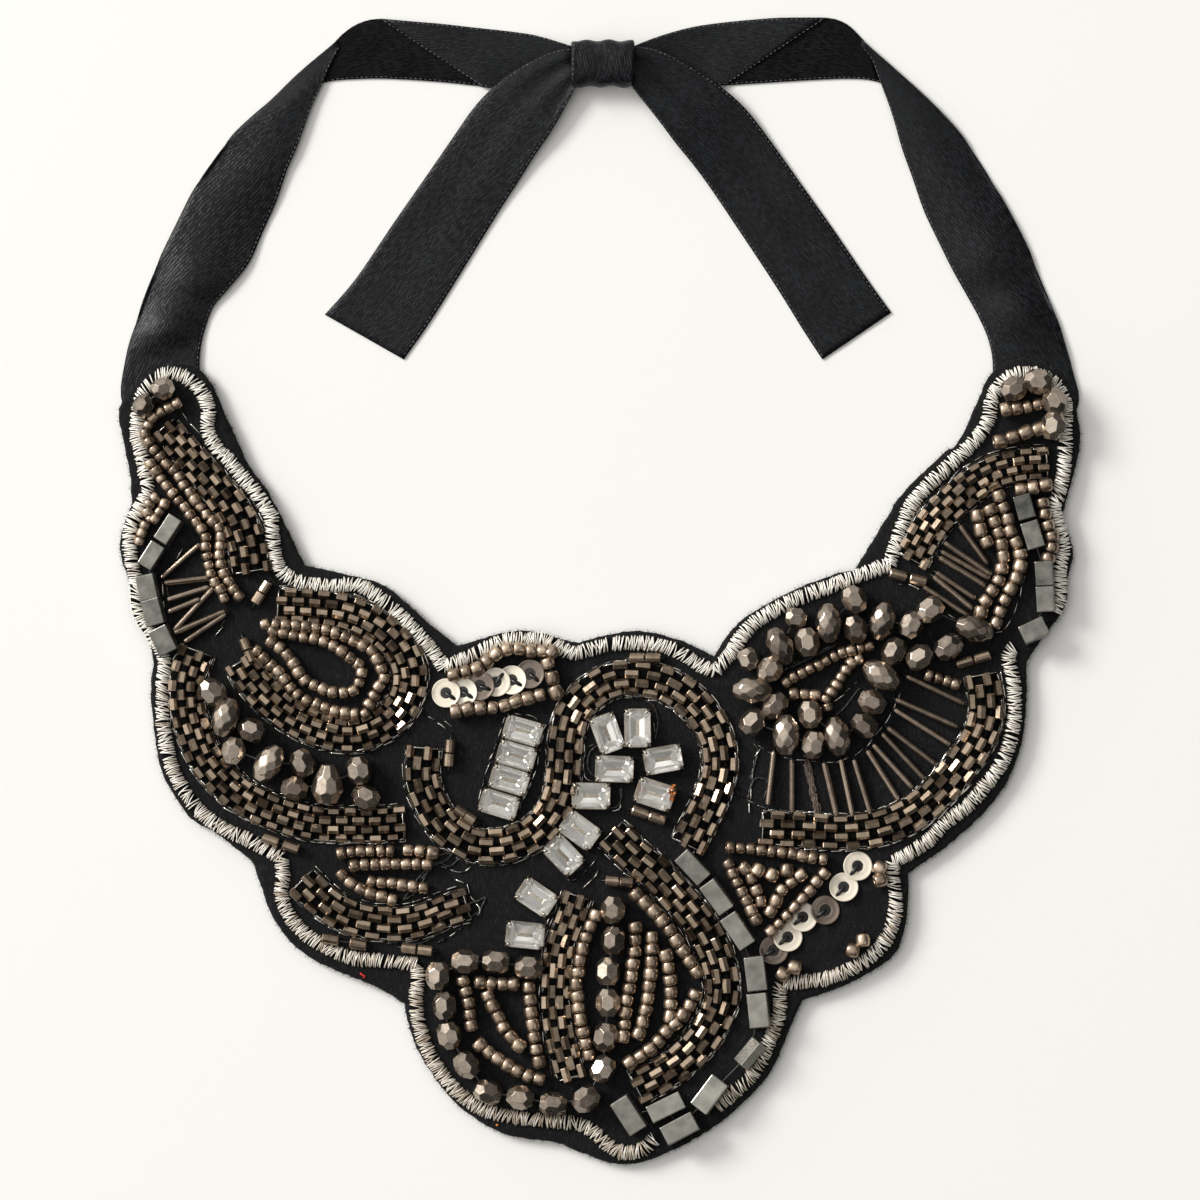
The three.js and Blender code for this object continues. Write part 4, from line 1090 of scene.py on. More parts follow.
def stone_stain():
    """The rusty spot of old glue on one stone's end."""
    heap = Heap()
    x, y = STAIN_PLACE
    for _ in range(STAIN_CRUMBS):
        place = at(x + RNG.gauss(0, 1.5), y + RNG.gauss(0, 3.6))
        size = RNG.uniform(0.25, 0.5) * MM
        crumb = bevelled([tuple(size * RNG.uniform(-1, 1) for _ in range(3)) for _ in range(12)], 0)
        z = FELT_TOP + SETTING_BASE + STONE_HEIGHT * RNG.uniform(0.6, 0.9)
        heap.add(crumb, None, (*place, z), tone=RNG.random())
    return finish_piece(heap, "glue_stain", [RUST], "setting_metal")


# The grey block beads: centre, long direction, length and width in photograph squares
BLOCK_STRINGS = {
    "hematite_string_left": [
        (169, 530, 123, 29, 15.5), (152, 556, 122, 27, 16), (148, 587, 78, 26, 18.5),
        (154, 612, 75, 27, 19), (164, 640, 64, 28, 20)],
    "hematite_string_right": [
        (1024.5, 507, 75, 25, 17.5), (1033, 535, 73, 28, 18), (1045, 573, 86, 25, 18),
        (1046, 599, 87, 26, 18), (1034, 631, -25, 27, 19)],
    "hematite_string_bottom": [
        (693, 866.5, 47, 35, 18), (717, 896, 54, 35, 18), (738, 930, 56, 37, 18.5),
        (756, 973, 83, 35, 20), (759, 1010, 84, 35, 20), (750, 1053, -50, 30, 15.5),
        (710, 1094, -53, 37, 20), (680, 1128, -28, 36, 20), (666, 1107, -26, 37, 18),
        (629, 1114, 57, 38, 20)],
}
# The one block that lies on its edge, and each string's shade
ROLLED_BLOCK = (750, 1053)
ROLLED_TURN, ROLLED_WIDTH = 0.75, 0.8
BLOCK_TONES = {"hematite_string_left": 0.42, "hematite_string_right": 0.30, "hematite_string_bottom": 0.6}


def block_string(name, rows):
    """Block beads that lean a little, on one thread."""
    heap = Heap()
    places = []
    for x, y, turn, long, wide in rows:
        places.append((*at(x, y), FELT_TOP + BLOCK_HEIGHT / 2))
        rolled = (x, y) == ROLLED_BLOCK
        lean = RNG.gauss(0.15, 0.04)
        roll = ROLLED_TURN if rolled else math.copysign(lean, turn)
        width = wide * SQUARE_X * (ROLLED_WIDTH if rolled else 1)
        shape = block_shape(long * SQUARE_X * 0.985, width, BLOCK_HEIGHT)
        matrix = aimed(direction(turn), RNG.gauss(0, 0.03), roll)
        heap.add(shape, matrix, places[-1], tone=BLOCK_TONES[name] + RNG.uniform(-0.12, 0.12))
    heap.add(tube(places, THREAD_RADIUS * 1.3, 6), slot=1, tone=0.0)
    return finish_piece(heap, name + "_blocks", [HEMATITE, BLACK_THREAD], "hematite", name)


# The faceted beads: centre, kind and long direction
BEAD_STRINGS = {
    "faceted_string_left": [
        (213, 692, "round", 40), (226, 717, "oval", -62), (252, 730, "round", 20),
        (234, 750, "round", 100), (269, 763, "oval", -63), (303, 763, "round", 60),
        (295, 788, "round", 10), (328, 784, "drop", 270), (359, 770, "round", 80), (366, 797, "round", 30)],
    "faceted_string_rosette": [
        (748.5, 659, "small", 60), (770, 669, "round", 120), (780, 646, "oval", 56),
        (796, 618, "small", 10), (807, 642, "round", 80), (828.5, 623, "oval", 85),
        (854, 600, "round", 70), (855, 629, "round", 90), (882, 621, "oval", -80),
        (911, 625, "round", -60), (930, 610, "round", -40), (974, 629, "oval", 12),
        (948, 647, "round", -30), (919, 657, "round", -30), (894, 651, "round", -60),
        (881, 675, "oval", 30), (872, 702, "round", 40), (864, 725, "round", 50),
        (837, 736, "oval", 70), (810, 714, "round", 90), (813, 744, "round", 90),
        (786, 734.5, "oval", -82), (753, 722, "round", -50), (775, 705, "round", -50),
        (752, 690, "oval", 0)],
    "faceted_string_leaf": [
        (613, 909, "round", 100), (613.5, 940, "round", 92), (608, 971, "round", 95),
        (608, 1002, "round", 92), (605.5, 1036, "round", 94), (603, 1068, "round", 110),
        (586, 1098, "round", 150), (553, 1103, "round", 180), (520.5, 1096.5, "round", 190),
        (488, 1091, "round", 210), (467, 1064, "round", 235), (449, 1034.5, "round", 255),
        (445, 1005, "round", 265), (438, 975, "round", 280), (465, 961, "round", 0),
        (496, 961, "round", 4), (529, 967, "round", 15)],
    "faceted_string_left_tip": [
        (144, 406, "small", -60), (163, 389, "small", -20)],
    "faceted_string_right_tip": [
        (1014, 389, "round", -40), (1038, 382, "round", 10), (1054, 402, "round", 70),
        (1053, 426, "round", 90)],
}
BEAD_SIZES = {
    "round": (ROUND_LENGTH, ROUND_WIDTH), "small": (SMALL_LENGTH, SMALL_WIDTH),
    "oval": (OVAL_LENGTH, OVAL_WIDTH), "drop": (OVAL_LENGTH * 0.95, OVAL_WIDTH * 1.14),
}


def drop_shape():
    """A drop of unit size, wide at its lower end."""
    planes = ring_planes(9, 14, 0.449)
    planes += ring_planes(9, 34, 0.452, 0.5)
    planes += ring_planes(9, -35, 0.524, 0.5)
    planes.append(((-1, 0, 0), 0.46))
    planes.append(((1, 0, 0), 0.50))
    return cut_by_planes(planes, 0.014)


BEAD_SHAPES = {
    "round": FACETED_SHAPE, "small": FACETED_SHAPE, "oval": OVAL_SHAPE, "drop": drop_shape(),
}


def bead_string(name, rows):
    """Faceted beads on one thread, each turned a little about it."""
    heap = Heap()
    places = []
    for x, y, kind, turn in rows:
        long, wide = BEAD_SIZES[kind]
        z = FELT_TOP + 0.47 * wide
        grow = RNG.uniform(0.97, 1.03)
        matrix = aimed(direction(turn + RNG.gauss(0, 6)), RNG.gauss(0, 0.07), RNG.uniform(0, 6.28),
                       (long * grow, wide * grow, wide * grow))
        heap.add(BEAD_SHAPES[kind], matrix, (*at(x, y), z), tone=shade(0.5, 0.25))
        places.append((*at(x, y), z))
    heap.add(tube(places, THREAD_RADIUS * 1.5, 6), slot=1, tone=0.5)
    return finish_piece(heap, name + "_beads", [FACETED, BLACK_THREAD], "gunmetal_beads", name)


# The sequins: centre, which way the thread's groove points, and whether the disc is dark
SEQUINS = {
    "sequins_top": [(446, 693, 35, 0), (463, 692, 30, 0), (480, 686, 20, 1), (496, 682, -50, 0),
                    (512, 680, 30, 0), (530, 674, 40, 1)],
    "sequins_right": [(858, 866, 130, 0), (844, 887, 130, 0), (825.5, 910, 140, 1), (803, 917, 140, 0),
                      (788, 937, 140, 0), (774, 950, 150, 1)],
}


def sequin_shape():
    """A dished disc with a raised rim and a round hole."""
    rows = [(0.38, 0.05), (0.41, 0.08), (0.62, 0.05), (0.86, 0.08), (0.90, 0.12), (0.97, 0.13), (1.0, 0.09),
            (0.97, 0.05), (0.86, 0.0), (0.62, -0.03), (0.40, 0.0)]
    return lathe([(up * 1.6 * MM, radius * SEQUIN_RADIUS) for radius, up in reversed(rows)], 40, closed=True)


def sequin_row(name, rows):
    """Overlapping sequins, each held by a black thread from its hole to its rim."""
    heap = Heap()
    disc = sequin_shape()
    stand = np.array(Matrix.Rotation(math.radians(-90), 3, "Y"))
    for index, (x, y, groove, dark) in enumerate(rows):
        away = direction(groove)
        matrix = aimed(away, 0.16, RNG.gauss(0, 0.04)) @ stand
        z = FELT_TOP + (0.45 + 0.05 * (index % 2)) * MM
        heap.add(disc, matrix, (*at(x, y), z), slot=1 if dark else 0, tone=RNG.uniform(0.4, 1))
        start, out = at(x, y), at(x, y) + away * SEQUIN_RADIUS * 0.8
        points = [(*start, z - 0.3 * MM), (*start, z + 0.2 * MM),
                  (*(0.5 * (start + out)), z + 0.5 * MM), (*out, z + 0.1 * MM)]
        heap.add(tube(points, 0.46 * MM, 8), slot=2, tone=0.1)
        hole = lathe([(-0.2 * MM, 0.38 * SEQUIN_RADIUS), (0.05 * MM, 0.38 * SEQUIN_RADIUS)], 20)
        heap.add(hole, matrix, (*start, z), slot=2, tone=0.0)
    materials = [PEARL, DARK_SEQUIN, BLACK_THREAD]
    return finish_piece(heap, name + "_discs", materials, "sequin", name)


# The bugle beads, from inner to outer end
BUGLES = {
    "bugles_left_arm": [
        ((200, 544), (161, 578)), ((209, 578), (164, 583)), ((209, 587), (167, 600)),
        ((200, 599), (168, 612)), ((213, 588), (173, 631)), ((225, 611), (174, 633)),
        ((226, 614), (184, 642))],
    "bugles_right_arm": [
        ((960, 525), (988, 564)), ((944, 542), (992, 575)), ((941, 551), (990, 579)),
        ((939, 557), (986, 586)), ((936, 572), (976, 599)), ((933, 576), (973, 609)),
        ((923, 586), (969, 616))],
    "bugles_right_fan": [
        ((906, 676), (965, 704)), ((895, 699), (958, 727)), ((894, 709), (951, 745)),
        ((887, 727), (937, 765)), ((882, 733), (925, 779)), ((873, 744), (913, 788)),
        ((867, 750), (899, 800)), ((854, 759), (871, 814)), ((841, 759), (853, 816)),
        ((824, 762), (837, 816)), ((792, 759), (792, 813)), ((774, 751), (768, 805))],
}
BARE_THREAD = ((807, 762), (819, 817))


def sewing(a, b, z, reach, past):
    """The thread through a bead from a to b: it leaves the bead at reach and meets the felt at past."""
    along = (b - a) / np.linalg.norm(b - a)
    points = [(*(a - along * past), FELT_TOP), (*(a - along * reach), z),
              (*(b + along * reach), z), (*(b + along * past), FELT_TOP)]
    return tube(points, THREAD_RADIUS, 5)


def bugle_fan(name, rows):
    """A fan of bugle beads, each sewn down by itself."""
    heap = Heap()
    for index, (start, end) in enumerate(rows):
        a, b = at(*start), at(*end)
        bead = cut_tube_shape(np.linalg.norm(b - a) * 0.97, BUGLE_RADIUS, 12)
        lift = 0.02 * (index % 3)
        z = FELT_TOP + BUGLE_RADIUS * (1.1 + 0.5 * (index % 2))
        matrix = aimed(b - a, lift, RNG.uniform(0, 1))
        heap.add(bead, matrix, (*(0.5 * (a + b)), z), tone=RNG.uniform(0.25, 0.85))
        heap.add(sewing(a, b, z, 0.1 * MM, 0.9 * MM), slot=1, tone=0.8)
    return finish_piece(heap, name + "_beads", [BUGLE, BLACK_THREAD], "bronze_beads", name)


def bare_thread():
    """Where a bugle bead is lost, its thread stays, frayed."""
    heap = Heap()
    a, b = at(*BARE_THREAD[0]), at(*BARE_THREAD[1])
    for strand in range(18):
        points = []
        spread = RNG.uniform(0.2, 0.75) * MM
        for share in np.linspace(0, 1, 14):
            wobble = np.array((math.sin(share * 9 + strand * 2), math.cos(share * 7 + strand))) * spread
            height = 0.35 * MM + 0.2 * MM * math.sin(share * 25 + strand)
            points.append((*(a + (b - a) * share + wobble), FELT_TOP + height))
        heap.add(tube(points, 0.12 * MM, 4), tone=RNG.random())
    return finish_piece(heap, "frayed_thread", [FRAYED], "bronze_beads")


# Rows of seed beads
SEED_ROWS = {
    "seed_rows_left_arm": [
        [(177, 404), (167, 409), (155, 415), (149, 423), (145, 434), (151, 446), (163, 460), (175, 472),
         (185, 487), (196, 501), (208, 517), (220, 530), (219, 556), (224, 573), (233, 589), (239, 596)],
        [(150, 464), (159, 476), (173, 494), (185, 508), (196, 522), (205, 536), (207, 556), (211, 575),
         (220, 590), (224, 598)],
        [(155, 498), (150, 503), (147, 511), (151, 517), (144, 527), (139, 541)],
        [(164, 504), (159, 512), (154, 519)],
    ],
    "seed_rows_eye": [
        [(265, 624), (283, 625), (310, 627), (331, 631), (351, 640), (371, 651), (381, 668), (384, 679),
         (378, 688), (369, 705), (363, 714), (340, 712), (319, 705), (297, 694), (279, 672), (264, 658),
         (257, 650)],
        [(273, 631), (294, 636), (315, 639), (335, 647), (352, 660), (362, 668), (360, 679), (354, 690),
         (330, 692), (319, 686), (308, 683), (299, 673), (289, 657), (281, 649), (271, 642)],
    ],
    "seed_rows_lower_left": [
        [(341, 853), (366, 851), (390, 851)], [(408, 850), (420, 851), (432, 852)],
        [(354, 865), (390, 864), (427, 864)],
        [(342, 875), (350, 882), (360, 888), (370, 893), (392, 900)],
        [(371, 881), (397, 884), (423, 888)],
    ],
    "seed_rows_leaf": [
        [(463, 980), (468, 1001), (471, 1025)], [(480, 982), (497, 983), (514, 984)],
        [(488, 995), (493, 1006), (499, 1017), (504, 1028), (512, 1037), (519, 1045)],
        [(529, 987), (531, 1010), (534, 1037), (539, 1061)],
        [(480, 1044), (495, 1056), (515, 1069), (539, 1079)],
        [(596, 915), (586, 937), (580, 961), (577, 987), (580, 1016), (586, 1044), (589, 1054)],
        [(636, 927), (634, 954), (631, 977), (627, 1000), (623, 1036)],
        [(652, 937), (652, 960), (649, 985), (646, 1009), (639, 1033)],
        [(666, 955), (670, 976), (671, 989), (670, 1016)],
        [(636, 894), (654, 912), (670, 930), (683, 951), (697, 971)],
        [(695, 994), (684, 1014), (667, 1031), (651, 1048), (630, 1062)],
    ],
    "seed_rows_triangle": [
        [(730, 847), (763, 850), (792, 854), (823, 859)],
        [(728, 864), (739, 886), (751, 909), (756, 919)],
        [(745, 868), (757, 889), (761, 901)],
        [(824, 873), (809, 891), (794, 908), (780, 924), (771, 931)],
        [(801, 875), (791, 882), (782, 890), (771, 911)],
    ],
    "seed_rows_upper": [
        [(454, 675), (464, 672), (476, 669), (484, 663), (492, 658), (499, 652), (510, 649), (521, 649),
         (532, 651), (543, 651)],
        [(548, 663), (551, 672), (554, 682), (556, 692)],
        [(456, 711), (476, 708), (499, 707), (519, 701), (540, 695)],
    ],
    "seed_rows_right_arm": [
        [(1006, 410), (1022, 408), (1038, 405)], [(1000, 441), (1020, 435), (1039, 429)],
        [(1021, 490), (1033, 488), (1046, 485)], [(1043, 503), (1047, 522), (1053, 543), (1048, 558)],
        [(978, 516), (982, 533), (987, 542)],
        [(990, 510), (996, 526), (1001, 540), (1003, 561), (998, 582), (985, 601), (981, 612)],
        [(999, 496), (1006, 513), (1011, 531), (1021, 556), (1017, 576), (1006, 597), (996, 623)],
    ],
    "seed_rows_rosette": [
        [(786, 682), (801, 673), (819, 665), (838, 654), (869, 646)],
        [(859, 659), (851, 663), (844, 673), (832, 691), (826, 698), (828, 707)],
        [(794, 694), (804, 694), (815, 695)],
        [(929, 675), (942, 679), (956, 684)],
    ],
}
SINGLE_SEEDS = [
    (880, 868), (880, 880), (863, 940), (853, 950), (795, 967), (783, 974), (552, 652),
    (758, 870), (772, 875), (787, 870)]


# Where the seed beads are smaller: share of their width and of their pitch
SEED_SIZES = {
    "seed_rows_left_arm": (0.80, 0.74), "seed_rows_rosette": (0.86, 0.76), "seed_rows_eye": (0.88, 0.82),
    "seed_rows_triangle": (0.90, 0.88), "seed_rows_lower_left": (0.90, 0.86),
}


def seed_rows(name, rows):
    """Rows of seed beads of uneven girth and length, each row on one thread."""
    heap = Heap()
    girth, spread = SEED_SIZES.get(name, (1.0, 1.0))
    usual = SEED_PITCH * spread
    for places in rows:
        route = Route(places)
        count = max(2, round((route.length + usual) / usual))
        for index in range(count):
            distance = route.length * index / (count - 1)
            along = route.along(distance)
            x, y = route.offset(distance, RNG.gauss(0, 0.06) * MM)
            grow = girth * RNG.uniform(0.9, 1.07)
            pitch = route.length / (count - 1)
            stretch = spread * min(1.1, pitch / usual) * RNG.uniform(0.78, 1.06)
            run = along + RNG.gauss(0, 0.12) * left_of(along)
            matrix = aimed(run, RNG.gauss(0, 0.12), RNG.uniform(0, 6), (stretch, grow, grow))
            heap.add(SEED_SHAPE, matrix, (x, y, FELT_TOP + SEED_RADIUS * grow), tone=RNG.uniform(0.15, 0.95))
        level = FELT_TOP + SEED_RADIUS * girth
        places = [(*route.place(distance), level) for distance in np.linspace(0, route.length, 30)]
        heap.add(tube(places, THREAD_RADIUS * 1.4, 5), slot=1, tone=0.4)
    return finish_piece(heap, name, [SEED, BLACK_THREAD], "bronze_beads")


def single_seeds():
    """Seed beads sewn on one by one."""
    heap = Heap()
    for x, y in SINGLE_SEEDS:
        along = direction(RNG.uniform(0, 180))
        heap.add(SEED_SHAPE, aimed(along, 0.2), (*at(x, y), FELT_TOP + SEED_RADIUS), tone=RNG.random())
        start, end = at(x, y) - along * 2 * MM, at(x, y) + along * 2 * MM
        points = [(*start, FELT_TOP), (*at(x, y), FELT_TOP + SEED_RADIUS), (*end, FELT_TOP)]
        heap.add(tube(points, THREAD_RADIUS, 5), slot=1, tone=0.6)
    return finish_piece(heap, "single_seeds", [SEED, BLACK_THREAD], "bronze_beads")


# Pairs of short tubes, end to end
TUBE_PAIRS = [
    ((637, 658), (653, 658)), ((640, 812), (657, 818)), ((450, 746), (449, 760)), ((460, 811), (470, 818)),
    ((265, 587), (258, 598)), ((245, 644), (250, 656)), ((271, 840), (291, 847)), ((330, 939), (358, 944)),
    ((409, 948), (425, 950)), ((898, 575), (918, 580)), ((965, 662), (982, 657)), ((612, 881), (626, 882)),
]


def short_tubes():
    """Pairs of wide tube beads, end to end."""
    heap = Heap()
    for first, second in TUBE_PAIRS:
        a, b = at(*first), at(*second)
        run = b - a
        stretch = min(1.25, np.linalg.norm(run) / (3.1 * MM))
        for place in (a, b):
            matrix = aimed(run, RNG.gauss(0, 0.06), RNG.uniform(0, 1), (stretch, 1, 1))
            heap.add(SHORT_TUBE, matrix, (*place, FELT_TOP + TUBE_RADIUS), tone=RNG.uniform(0.4, 1))
        heap.add(sewing(a, b, FELT_TOP + TUBE_RADIUS, 1.6 * MM, 3 * MM), slot=1, tone=0.6)
    return finish_piece(heap, "short_tubes", [CUT, BLACK_THREAD], "bronze_beads")


# Black sewing threads that show on the felt
LOOSE_THREADS = [
    [(402, 902), (412, 886), (425, 870), (438, 856), (455, 853), (476, 855)],
    [(404, 900), (418, 890), (430, 868), (446, 860), (462, 846), (480, 858)],
    [(420, 880), (436, 862), (450, 866), (470, 850), (490, 860)],
    [(790, 668), (806, 660), (826, 650), (838, 644)],
    [(835, 716), (846, 706), (858, 690), (862, 688)],
    [(600, 744), (590, 752), (588, 768), (596, 778)],
    [(645, 700), (654, 706), (658, 722), (655, 740)],
    [(606, 808), (618, 806), (622, 792), (620, 786)],
    [(750, 780), (754, 768), (758, 750), (752, 742)],
    [(748, 800), (750, 790), (756, 778), (768, 782), (764, 800)],
    [(467, 904), (480, 900), (486, 896), (478, 912), (462, 920)],
    [(166, 585), (168, 596), (170, 606)],
    [(225, 618), (222, 624), (220, 628)],
    [(398, 948), (412, 944), (424, 942), (440, 932), (452, 922)],
    [(560, 868), (572, 872), (584, 866)],
]
COUCHED_ROUTES = [
    [(758, 745), (777, 756), (812, 761), (835, 762), (855, 755), (869, 744), (878, 732), (889, 718),
     (901, 693)],
    [(760, 748), (754, 762), (752, 782), (749, 813)],
    [(734, 790), (750, 801), (766, 808), (812, 818)],
    [(782, 672), (800, 660), (822, 650), (838, 643)],
    [(834, 703), (848, 690), (861, 679)],
    [(899, 584), (920, 588), (934, 597)],
    [(947, 614), (959, 620)],
    [(995, 633), (1005, 629), (1016, 609), (1026, 574)],
    [(595, 744), (586, 750), (584, 776), (598, 782)],
    [(620, 787), (620, 808), (606, 811)],
    [(653, 722), (656, 736), (656, 745)],
    [(486, 706), (500, 712), (532, 716), (540, 724)],
    [(505, 716), (497, 742), (490, 760), (476, 808)],
    [(545, 724), (540, 750), (534, 775), (520, 806), (512, 822)],
    [(560, 868), (570, 881), (588, 869), (596, 858)],
    [(583, 888), (596, 875), (600, 865)],
    [(437, 943), (450, 936), (465, 925)],
    [(455, 880), (466, 884), (470, 896)],
    [(470, 896), (480, 909), (474, 918)],
    [(440, 866), (462, 872), (480, 858)],
    [(466, 858), (466, 840), (478, 836)],
    [(162, 582), (163, 600), (166, 625), (172, 645)],
    [(176, 560), (182, 548)],
    [(214, 636), (222, 628), (228, 620)],
    [(445, 720), (452, 728)],
    [(428, 716), (440, 724), (446, 730)],
    [(556, 836), (566, 846), (560, 856)],
    [(690, 860), (697, 846), (705, 834)],
    [(770, 835), (760, 842), (742, 842)],
    [(560, 905), (550, 916), (546, 930), (541, 960)],
    [(594, 925), (584, 940), (576, 965)],
]
RED_THREAD = [(360, 973), (362, 975), (365, 976), (363, 978)]
ORANGE_SPECK = (497, 1125)


def loose_threads():
    """Two-ply sewing threads that lie on the felt."""
    heap = Heap()
    for places in LOOSE_THREADS:
        route = Route(places)
        for twist in range(2):
            points = []
            for distance in np.arange(0, route.length, 0.7 * MM):
                turn = distance / (1.4 * MM) * math.pi + twist * math.pi
                x, y = route.offset(distance, 0.1 * MM * math.sin(turn))
                points.append((x, y, FELT_TOP + 0.25 * MM + 0.1 * MM * math.cos(turn)))
            heap.add(tube(points, 0.13 * MM, 5), tone=0.9)
    return finish_piece(heap, "loose_threads", [BLACK_THREAD], "felt")


def thread_specks():
    """A red thread's end and an orange crumb on the felt's margin."""
    heap = Heap()
    z = FELT_TOP + 0.15 * MM
    heap.add(tube([(*at(x, y), z) for x, y in RED_THREAD], 0.18 * MM, 5), tone=0.8)
    crumb = lathe([(-0.3 * MM, 0.1 * MM), (0, 0.3 * MM), (0.3 * MM, 0.1 * MM)], 7)
    heap.add(crumb, None, (*at(*ORANGE_SPECK), z), slot=1, tone=0.8)
    return finish_piece(heap, "thread_specks", [RED, RUST], "felt")


def couching(route, reach, heap):
    """A thin black thread that dips in and out of the felt beside a row, each stitch a random tone up to
    pale grey: painted glints.
    """
    distance = 0.0
    while distance < route.length - 1.5 * MM:
        run = RNG.uniform(1.6, 3.2) * MM
        # Each stitch's random tone paints a glint on the black thread.
        heap.add(dash(route, distance, run, reach, 0.3 * MM), tone=RNG.random() ** 1.5)
        distance += run + RNG.uniform(0.1, 1.0) * MM


def couched_threads():
    """Thin black threads, with painted glints, beside the bands and along the couched routes."""
    heap = Heap()
    for first, last, places in BANDS.values():
        route = Route(places)
        for side in (-1, 1):
            couching(route, side * (BAND_WIDTH * 0.5 * max(first, last) + RNG.uniform(0.5, 0.8) * MM), heap)
    for places in COUCHED_ROUTES:
        couching(Route(places), 0.0, heap)
    return finish_piece(heap, "couched_threads", [GLINT_THREAD], "felt")


# The ribbon: rows from under the arm's tip to the turned corner, outer edge, inner edge, arch and layer
STRAP_LEFT = [
    (134, 428, 204, 412, 0.0, 0), (121, 396, 199, 374, 0.0, 0), (126, 358, 199, 352, 0.3, 0),
    (134, 328, 203, 330, 2.2, 0), (143, 298, 212, 306, 1.0, 0), (157, 264, 228, 287, 2.2, 0),
    (177, 223, 248, 262, 1.4, 0), (196, 185, 262, 230, 1.0, 0), (212, 161, 275, 201, 1.0, 0.2),
    (228, 140, 286, 169, 0.9, 0.45), (242, 126, 295, 149, 0.8, 0.7), (258, 112, 303, 127, 0.7, 0.9),
    (273, 99, 311, 105, 0.5, 0.9), (298, 74, 321, 83, 0.3, 0.7), (319, 55.5, 329, 63, 0.1, 0.5),
    (337, 40, 338.5, 45, 0.0, 0.3),
]
STRAP_RIGHT = [
    (1068, 425, 996, 415, 0.0, 0), (1079, 400, 994, 375, 0.0, 0), (1073, 373, 993, 355, 0.2, 0),
    (1065, 344, 988, 335, 1.4, 0), (1055, 312, 979, 314, 2.4, 0), (1042, 281, 966, 291, 1.2, 0),
    (1030, 252, 953, 268, 2.0, 0), (1014, 220, 938, 238, 1.2, 0), (998, 191, 925, 210, 1.0, 0),
    (982, 164, 914, 178, 0.9, 0.3), (963, 137, 903, 148, 0.8, 0.6), (944, 116, 896, 124, 0.6, 0.9),
    (924, 96, 889, 102, 0.4, 0.9), (899, 73, 880, 78, 0.2, 0.7), (877, 53, 873, 58, 0.1, 0.5),
    (862.5, 39.5, 861.5, 44, 0.0, 0.3),
]
# Level stretches by top edge, bottom edge and lift in ribbon layers
CORNER_LEFT = [
    (331, 44, 321, 82, 0), (341, 33, 333, 79, 0), (357, 22, 354, 77.5, 0), (378, 17, 385, 77, 0),
    (410, 21, 436, 80, 0), (444, 25, 484, 85, 0)]
CORNER_RIGHT = [
    (868, 43, 881, 81, 0), (859, 33, 868, 78, 0), (847, 22, 849, 77, 0), (828, 16, 820, 78, 0),
    (795, 18.5, 770, 81, 0), (760, 20, 724, 84, 0)]
TURNED_LEFT = [
    (380, 17, 483, 85, 0.5), (407, 19.5, 485, 86, 0.5), (438, 22, 492, 87, 0.4), (471, 25.5, 512, 88, 0.1),
    (503, 29, 530, 88, 0.1), (534, 33.5, 550, 87, 0.4), (557, 40, 564, 84, 0.9), (575, 46, 575, 80, 1.4)]
TURNED_RIGHT = [
    (826, 16, 724, 84, 0.5), (800, 16, 721, 84, 0.5), (771, 16.6, 712, 85, 0.4), (724, 20.7, 692, 86, 0.1),
    (692, 25.5, 672, 86, 0.1), (663, 33.5, 654, 85, 0.5), (645, 40, 642, 83, 0.9), (631, 46, 631, 80, 1.4)]
TAIL_LEFT = [
    (575, 48, 579, 80, 2.4), (561, 49, 576, 86, 2.4), (545, 54, 572, 94, 2.2), (525, 64, 566, 105, 2.0),
    (503, 78, 557, 121, 1.8), (487, 92, 547, 137, 1.5), (471, 110, 537, 151, 1.1), (448, 143, 519, 179, 0.5),
    (423, 179, 497, 213, 0.1), (393, 222, 463, 268, 0.0), (355, 278, 429, 322, 0.0),
    (324, 314, 403, 359, 0.0)]
TAIL_RIGHT = [
    (631, 46, 627, 78, 2.4), (648, 47, 632, 86, 2.4), (666, 52.6, 641, 98, 2.2), (682, 61, 650, 109, 2.1),
    (701, 72, 664, 127, 2.0), (720, 85, 676, 143, 1.8), (746, 108, 695, 166, 1.0), (771, 140, 714, 192, 0.4),
    (803, 185, 745, 238, 0.1), (835, 230, 776, 285, 0.0), (867, 277, 804, 330, 0.0),
    (892, 312, 823, 359, 0.0)]
LAYER = 1.0 * MM
CLEAR = 0.05 * MM
UNDER_FOLD = RIBBON_CLOTH + CLEAR
TAIL_FOLD = 1.2 * MM
ACROSS = 17
ROW_STEP = 1.6 * MM


def smooth_rows(rows):
    """Rows in metres, with new rows between them on smooth curves."""
    data = np.array([[*at(r[0], r[1]), *at(r[2], r[3]), *r[4:]] for r in rows])
    middles = 0.5 * (data[:, :2] + data[:, 2:4])
    ends = np.vstack((2 * data[0] - data[1], data, 2 * data[-1] - data[-2]))
    out = []
    for index in range(len(data) - 1):
        run = ends[index:index + 4]
        count = max(1, round(np.linalg.norm(middles[index + 1] - middles[index]) / ROW_STEP))
        out += [between(*run, share) for share in np.linspace(0, 1, count, endpoint=False)]
    out.append(data[-1])
    return np.array(out)


def cloth_faces(rows, across):
    """Faces for both sides of a cloth of rows of points, and for its rim."""
    total = rows * across
    faces = []
    for row in range(rows - 1):
        for column in range(across - 1):
            a = row * across + column
            quad = (a, a + 1, a + across + 1, a + across)
            faces += [quad, tuple(corner + total for corner in reversed(quad))]
    rim = list(range(across))
    rim += range(2 * across - 1, total, across)
    rim += range(total - 2, total - across - 1, -1)
    rim += range(total - 2 * across, 0, -across)
    faces += [(b, a, a + total, b + total) for a, b in zip(rim, rim[1:] + rim[:1])]
    return faces


